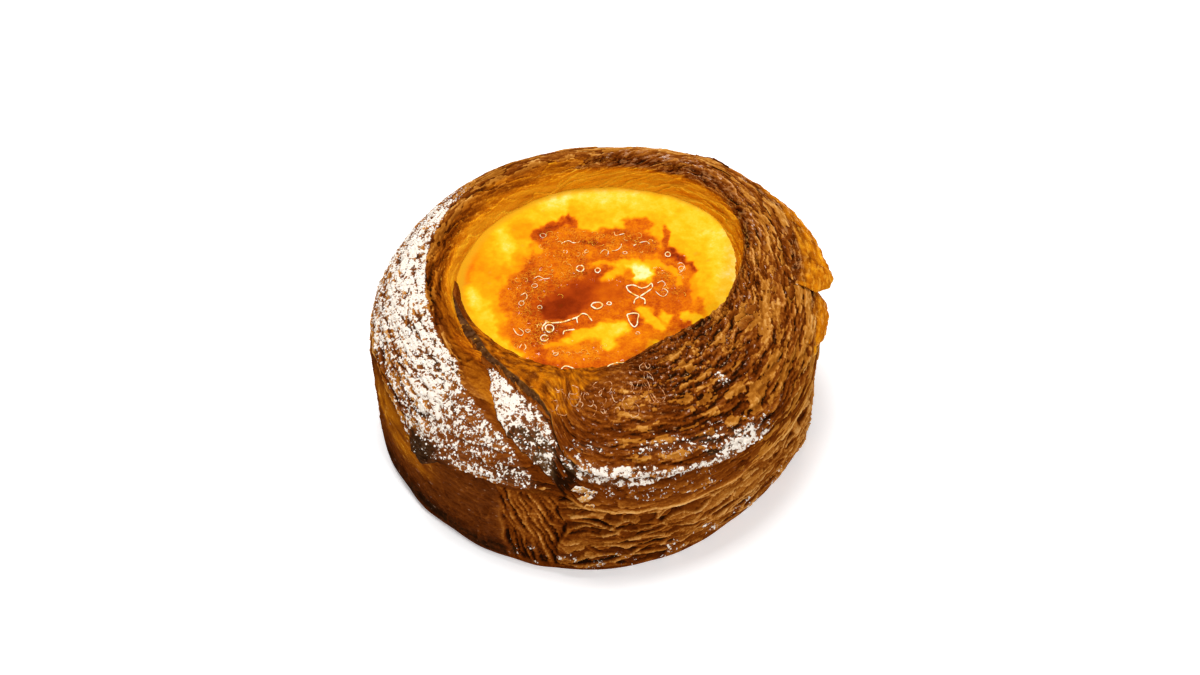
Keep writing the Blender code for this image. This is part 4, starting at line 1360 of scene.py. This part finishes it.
def sheet(name, top, thickness, notes):
    """A thin closed sheet of dough from a grid of 3-D points, thickest in its middle."""
    rows = top.shape[1]
    along_u = np.gradient(top, axis=0)
    along_v = np.gradient(top, axis=1)
    normal = np.cross(along_u, along_v)
    normal = normal / np.linalg.norm(normal, axis=2)[:, :, None]
    inset = np.minimum(np.arange(rows), np.arange(rows)[::-1])
    depth = thickness * np.clip(0.35 + inset / 3, 0, 1)[None, :, None]
    loop = np.concatenate([top, (top - depth * normal)[:, ::-1], top[:, :1]], axis=1)
    full = {}
    for key, values in notes.items():
        full[key] = np.concatenate([values, values[:, ::-1], values[:, :1]], axis=1)
    return shaped_grid(name, loop, full, wrap_rows=True, caps=True)


def dough_notes(u, v, bake, amber, patch=0.0, sugar=0.0, gloss=0.3):
    """The notes of a small piece of dough."""
    even = 0 * u
    return {
        "bake": bake + even, "sugar": sugar + even, "amber": amber + even, "gloss": gloss + even,
        "face": even, "patch": patch + even, "calm": even, "lie": np.stack([u, v, even], axis=-1)}


# How many rows of points a torn leaf has from its root to its free edge.
FLAP_ROWS = 26


def make_flap(name, edge, root_station, lean, seed):
    """A torn leaf of dough that stands out from the ring; its free edge is (angle, radius, height) points."""
    marks = np.array(edge, float)
    angle = np.arange(marks[0, 0], marks[-1, 0], 0.45)
    radius = np.interp(angle, marks[:, 0], marks[:, 1]) + 0.3 * waves(angle / 1.7, angle * 0, seed)
    radius = radius + 0.16 * waves(angle / 0.7, angle * 0, seed + 1)
    height = np.interp(angle, marks[:, 0], marks[:, 2]) + 0.5 * waves(angle / 6, angle * 0, seed + 2)
    root = form(angle, np.full_like(angle, root_station), 0.2)
    free = np.stack([radius * np.cos(angle * DEGREE), radius * np.sin(angle * DEGREE), height], axis=-1)
    bend = (root + free) / 2 + np.array([0, 0, lean])
    share = np.linspace(0, 1, FLAP_ROWS)[None, :, None]
    top = root[:, None] * (1 - share) ** 2 + 2 * bend[:, None] * share * (1 - share)
    top = top + free[:, None] * share**2
    u = np.repeat((angle * DEGREE * STRIP_RADIUS)[:, None], FLAP_ROWS, axis=1)
    v = np.linalg.norm(top - root[:, None], axis=2)
    top[:, :, 2] += 0.35 * rough(u / 5, v / 2.2, seed + 3, 3) * share[:, :, 0]
    crinkle = ridged(v * 1.2 + 0.5 * waves(u / 3, v / 3, seed + 6), u, seed + 5, 3.0, 1.1)
    top[:, :, 2] += 0.3 * (crinkle - 0.5) * np.sin(math.pi * share[:, :, 0])
    edge_light = smooth((share[:, :, 0] - 0.93) / 0.07)
    torn = edge_light * smooth(waves(u / 1.6, v, seed + 7) + 0.6)
    bake = 0.22 + 0.16 * share[:, :, 0] + 0.45 * torn + 0.24 * waves(u / 5, v / 2.6, seed + 4)
    bake = bake + 0.2 * (crinkle - 0.5) + 0.2 * waves(u / 1.7, v / 1.1, seed + 8)
    amber = 0.1 + 0.6 * smooth(share[:, :, 0] / 0.8 - 0.1) - 0.4 * torn
    amber = amber + 0.2 * waves(u / 2.6, v / 1.8, seed + 9)
    notes = dough_notes(u, v, bake, np.clip(amber, 0, 1), 0.8 * torn, gloss=0.4)
    return sheet(name, top, 0.45, notes)


# The free edges of the two torn leaves at the right: (angle, radius, height).
UPPER_FLAP = (
    (2, 49.6, 37.0), (5, 53.4, 35.6), (8, 54.6, 35.4), (15, 54.4, 35.4), (24, 54.6, 35.6), (30, 54.4, 35.8),
    (36, 53.4, 36.4), (42, 51.6, 38.2), (46, 49.6, 40.0),
)
LOWER_FLAP = (
    (-15, 49.4, 31.0), (-13, 50.8, 31.0), (-11, 50.2, 31.0), (-8, 52.0, 31.2), (0, 52.8, 31.6),
    (3, 52.4, 32.0), (5, 51.0, 33.0), (8, 49.0, 34.5),
)
# The pale curl on the front lip: the (angle, station, length, width) of its flakes.
LIP_CURL = ((266.0, 2.22, 3.4, 1.5), (267.2, 2.05, 2.6, 1.7), (268.6, 2.15, 2.2, 1.0), (268.2, 1.9, 1.6, 0.9))


def lift_on(surface, lower, angle, station):
    """The lift of a strip's surface at single places."""
    angle, station = np.atleast_2d(angle), np.atleast_2d(station)
    u = angle * DEGREE * STRIP_RADIUS
    v = length_between(angle, lower(angle), station)
    return surface(angle, station, v, u, v)[0]


def make_flake(surface, lower, angle, station, length, width, tilt, seed, bake, patch, sugar=0.0):
    """A loose flake that lies on the ring with one long side lifted."""
    a, b = np.meshgrid(np.linspace(-1, 1, 15), np.linspace(-1, 1, 7), indexing="ij")
    outline = np.clip(1 - a**4, 0.15, 1) * (1 + 0.45 * waves(a * 2.6, np.sign(b) + seed * 1.3, 970))
    u = a * length / 2 + 0.3 * waves(b * 1.2, a * 0 + seed * 0.7, 972)
    v = b * width / 2 * outline + 0.25 * waves(a * 1.4, a * 0 + seed * 0.9, 973)
    raised = 0.12 + tilt * smooth((b + 1) / 2) + 0.15 * waves(a * 1.5, b + seed, 971)
    around_ring = angle + u / STRIP_RADIUS / DEGREE
    up_ring = station + v / 8.5
    ground = softened(lift_on(surface, lower, around_ring, up_ring), 2, 1)
    place = form(around_ring, up_ring, ground + raised)
    bake = bake + 0.15 * b * np.sign(tilt)
    notes = dough_notes(u + angle * 0.75, v + station * 9, bake, 0.1, patch, sugar, 0.2)
    return sheet("flake", place, 0.2, notes)


def make_flakes():
    """Loose flakes of crust round the ring, and a pale curl on the front lip."""
    chance = np.random.default_rng(41)
    flakes_made = []
    for i in range(22):
        angle = chance.uniform(325, 425)
        station = chance.uniform(2.6, 3.9)
        length = chance.uniform(2.4, 6.0)
        width = chance.uniform(0.5, 0.9)
        tilt = chance.uniform(0.1, 0.55) * (1 if i % 3 else -1)
        bake = chance.uniform(0.35, 0.6)
        flakes_made.append(
            make_flake(coil_surface, coil_lower, angle, station, length, width, tilt, i, bake, float(i % 2)))
    for i, (angle, station, length, width) in enumerate(LIP_CURL):
        flakes_made.append(make_flake(
            middle_surface, middle_lower, angle, station, length, width, 0.9, 80 + i, 0.86, 1.0, 0.34))
    return joined("loose_flakes", flakes_made)


def make_squiggles():
    """Syrup bubbles that dried on the front of the coil as thin raised rims."""
    chance = np.random.default_rng(17)
    rims = []
    for i in range(34):
        angle = chance.uniform(254, 300)
        station = chance.uniform(3.5, 4.12)
        size = chance.uniform(0.5, 1.3)
        start = chance.uniform(0, 360)
        sweep = chance.uniform(110, 300)
        turn = (start + np.linspace(0, sweep, 14)) * DEGREE
        wobble = size * (1 + 0.3 * waves(turn * 0.8, turn * 0 + i * 2.3, 980))
        across = angle + 1.5 * wobble * np.cos(turn) / STRIP_RADIUS / DEGREE
        upward = station + wobble * np.sin(turn) / 9.0
        path = form(across, upward, lift_on(coil_surface, coil_lower, across, upward)[0] + 0.03)
        rims.append(tube("rim", path, 0.08, False))
    return joined("dried_syrup", rims)


def make_grains():
    """Clumps of icing sugar: small uneven lumps where the sugar lies, all in one piece."""
    bpy.ops.object.select_all(action="DESELECT")
    bpy.ops.mesh.primitive_ico_sphere_add(subdivisions=1, radius=1)
    lump = bpy.context.object
    corners = np.array([vertex.co[:] for vertex in lump.data.vertices])
    faces = np.array([face.vertices[:] for face in lump.data.polygons])
    bpy.data.objects.remove(lump)
    chance = np.random.default_rng(5)
    places = []
    for piece in (outer, middle, coil, wall):
        mesh = piece.data
        count = len(mesh.vertices)
        spots = np.empty(count * 3)
        mesh.vertices.foreach_get("co", spots)
        normals = np.empty(count * 3)
        mesh.vertices.foreach_get("normal", normals)
        sugar = np.empty(count)
        mesh.attributes["sugar"].data.foreach_get("value", sugar)
        odds = np.clip(sugar - 0.12, 0, 1) ** 1.2 * 0.13
        spots = spots.reshape(-1, 3)
        picked = (chance.uniform(0, 1, count) < odds) & (spots[:, 2] > 0.5 * MM)
        places.append((spots + 0.05 * MM * normals.reshape(-1, 3))[picked])
    places = np.concatenate(places)
    number = len(places)
    size = chance.uniform(0.10, 0.30, (number, 1, 1)) * chance.uniform(0.7, 1.3, (number, 1, 3)) * MM
    uneven = chance.uniform(0.75, 1.25, (number, len(corners), 1))
    vertices = places[:, None] + corners[None] * size * uneven
    every = faces[None] + np.arange(number)[:, None, None] * len(corners)
    mesh = bpy.data.meshes.new("icing_sugar")
    mesh.from_pydata(vertices.reshape(-1, 3).tolist(), [], every.reshape(-1, 3).tolist())
    piece = bpy.data.objects.new("icing_sugar", mesh)
    bpy.context.scene.collection.objects.link(piece)
    point_outwards(piece)
    mesh.shade_smooth()
    return piece


SUGAR_TONES = ((0.3, (0.84, 0.74, 0.64)), (0.6, (0.96, 0.92, 0.87)))
FROTH_TONES = ((0.34, (0.80, 0.30, 0.02)), (0.48, (0.96, 0.50, 0.05)), (0.62, (0.98, 0.68, 0.18)))
# The dried syrup rims run from dark syrup to pale pinkish cream; the pale end is a painted highlight for the
# glints they catch.
SYRUP_AND_GLINT_TONES = ((0.36, (0.25, 0.07, 0.01)), (0.5, (0.60, 0.24, 0.08)), (0.66, (0.90, 0.60, 0.36)))
# The bubble rims run from amber to near-white cream; the pale end is a painted highlight for the light the
# rims catch.
BUBBLE_RIM_AND_HIGHLIGHT_TONES = ((0.34, (0.85, 0.40, 0.04)), (0.44, (0.96, 0.70, 0.26)), (0.56, (1.0, 0.92, 0.66)))


def sugar_material():
    paint = Paint("icing_sugar_white", Roughness=0.9, Specular_IOR_Level=0.1)
    spot = paint.spot()
    patchy = paint.noise(spot, 1.3, 2.0, 0.6)
    colour = paint.ramp(patchy, SUGAR_TONES)
    return paint.finish(colour, 0.85 + 0.2 * (patchy - 0.5), 0.05 * patchy)


flaps = joined("torn_leaves", [
    make_flap("upper_leaf", UPPER_FLAP, 3.25, 2.0, 811), make_flap("lower_leaf", LOWER_FLAP, 2.75, 1.4, 831)])
loose = make_flakes()
grains = make_grains()
for piece in (flaps, loose):
    piece.data.materials.append(CRUST)
    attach(piece, "root")
grains.data.materials.append(sugar_material())
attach(grains, "root")
froth = make_froth()
froth.data.materials.append(bubble_material("froth_gloss", FROTH_TONES, 0.0))
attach(froth, "root")
squiggles = make_squiggles()
squiggles.data.materials.append(bubble_material("dried_syrup_gloss", SYRUP_AND_GLINT_TONES, 0.2))
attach(squiggles, "root")
bubbles = make_bubbles()
bubbles.data.materials.append(bubble_material("bubble_gloss", BUBBLE_RIM_AND_HIGHLIGHT_TONES, 0.3))
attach(bubbles, "root")


# ---- Floor, light and camera.
CAMERA_TARGET = (0.0007, 0.0, 0.024)
CAMERA_DISTANCE = 0.60
CAMERA_ELEVATION = 47 * DEGREE
VIEW_WIDTH = 0.2765
SENSOR = 36.0
FLOOR_SIZE = 6
FLOOR_GLOW = 0.35
WORLD_LIGHT = 0.16
# Each lamp's name, place, target, size and power, in metres and watts.
LAMPS = (
    ("overhead", (-0.1, 0.15, 0.9), (0, 0, 0.02), 0.45, 8.5),
    ("front", (0.4, -0.7, 0.75), (0, 0, 0.03), 0.2, 4.5),
)


def make_floor():
    bpy.ops.object.select_all(action="DESELECT")
    bpy.ops.mesh.primitive_plane_add(size=FLOOR_SIZE)
    floor = bpy.context.object
    floor.name = "floor"
    paint = Paint("white_floor", Roughness=0.9, Specular_IOR_Level=0.1)
    paint.shader.inputs["Base Color"].default_value = (0.93, 0.93, 0.93, 1)
    paint.shader.inputs["Emission Color"].default_value = (1, 1, 1, 1)
    paint.shader.inputs["Emission Strength"].default_value = FLOOR_GLOW
    floor.data.materials.append(paint.material)


def add_light(name, place, target, size, power):
    """A square soft light that faces its target."""
    light = bpy.data.lights.new(name, "AREA")
    light.shape = "SQUARE"
    light.size = size
    light.energy = power
    lamp = bpy.data.objects.new(name, light)
    bpy.context.scene.collection.objects.link(lamp)
    lamp.location = place
    away = np.subtract(place, target)
    tilt = math.atan2(math.hypot(away[0], away[1]), away[2])
    lamp.rotation_euler = (tilt, 0, math.atan2(away[0], -away[1]))


def add_camera():
    camera = bpy.data.cameras.new("camera")
    camera.sensor_width = SENSOR
    camera.lens = SENSOR * CAMERA_DISTANCE / VIEW_WIDTH
    camera.clip_start = 0.01
    holder = bpy.data.objects.new("camera", camera)
    bpy.context.scene.collection.objects.link(holder)
    x, y, z = CAMERA_TARGET
    back = CAMERA_DISTANCE * math.cos(CAMERA_ELEVATION)
    holder.location = (x, y - back, z + CAMERA_DISTANCE * math.sin(CAMERA_ELEVATION))
    holder.rotation_euler = (math.pi / 2 - CAMERA_ELEVATION, 0, 0)
    bpy.context.scene.camera = holder


def set_world(strength):
    world = bpy.data.worlds.new("studio")
    world.use_nodes = True
    background = world.node_tree.nodes["Background"]
    background.inputs["Color"].default_value = (1, 1, 1, 1)
    background.inputs["Strength"].default_value = strength
    bpy.context.scene.world = world
    bpy.context.scene.view_settings.view_transform = "Standard"


make_floor()
set_world(WORLD_LIGHT)
for lamp_settings in LAMPS:
    add_light(*lamp_settings)
add_camera()

bpy.context.view_layer.update()
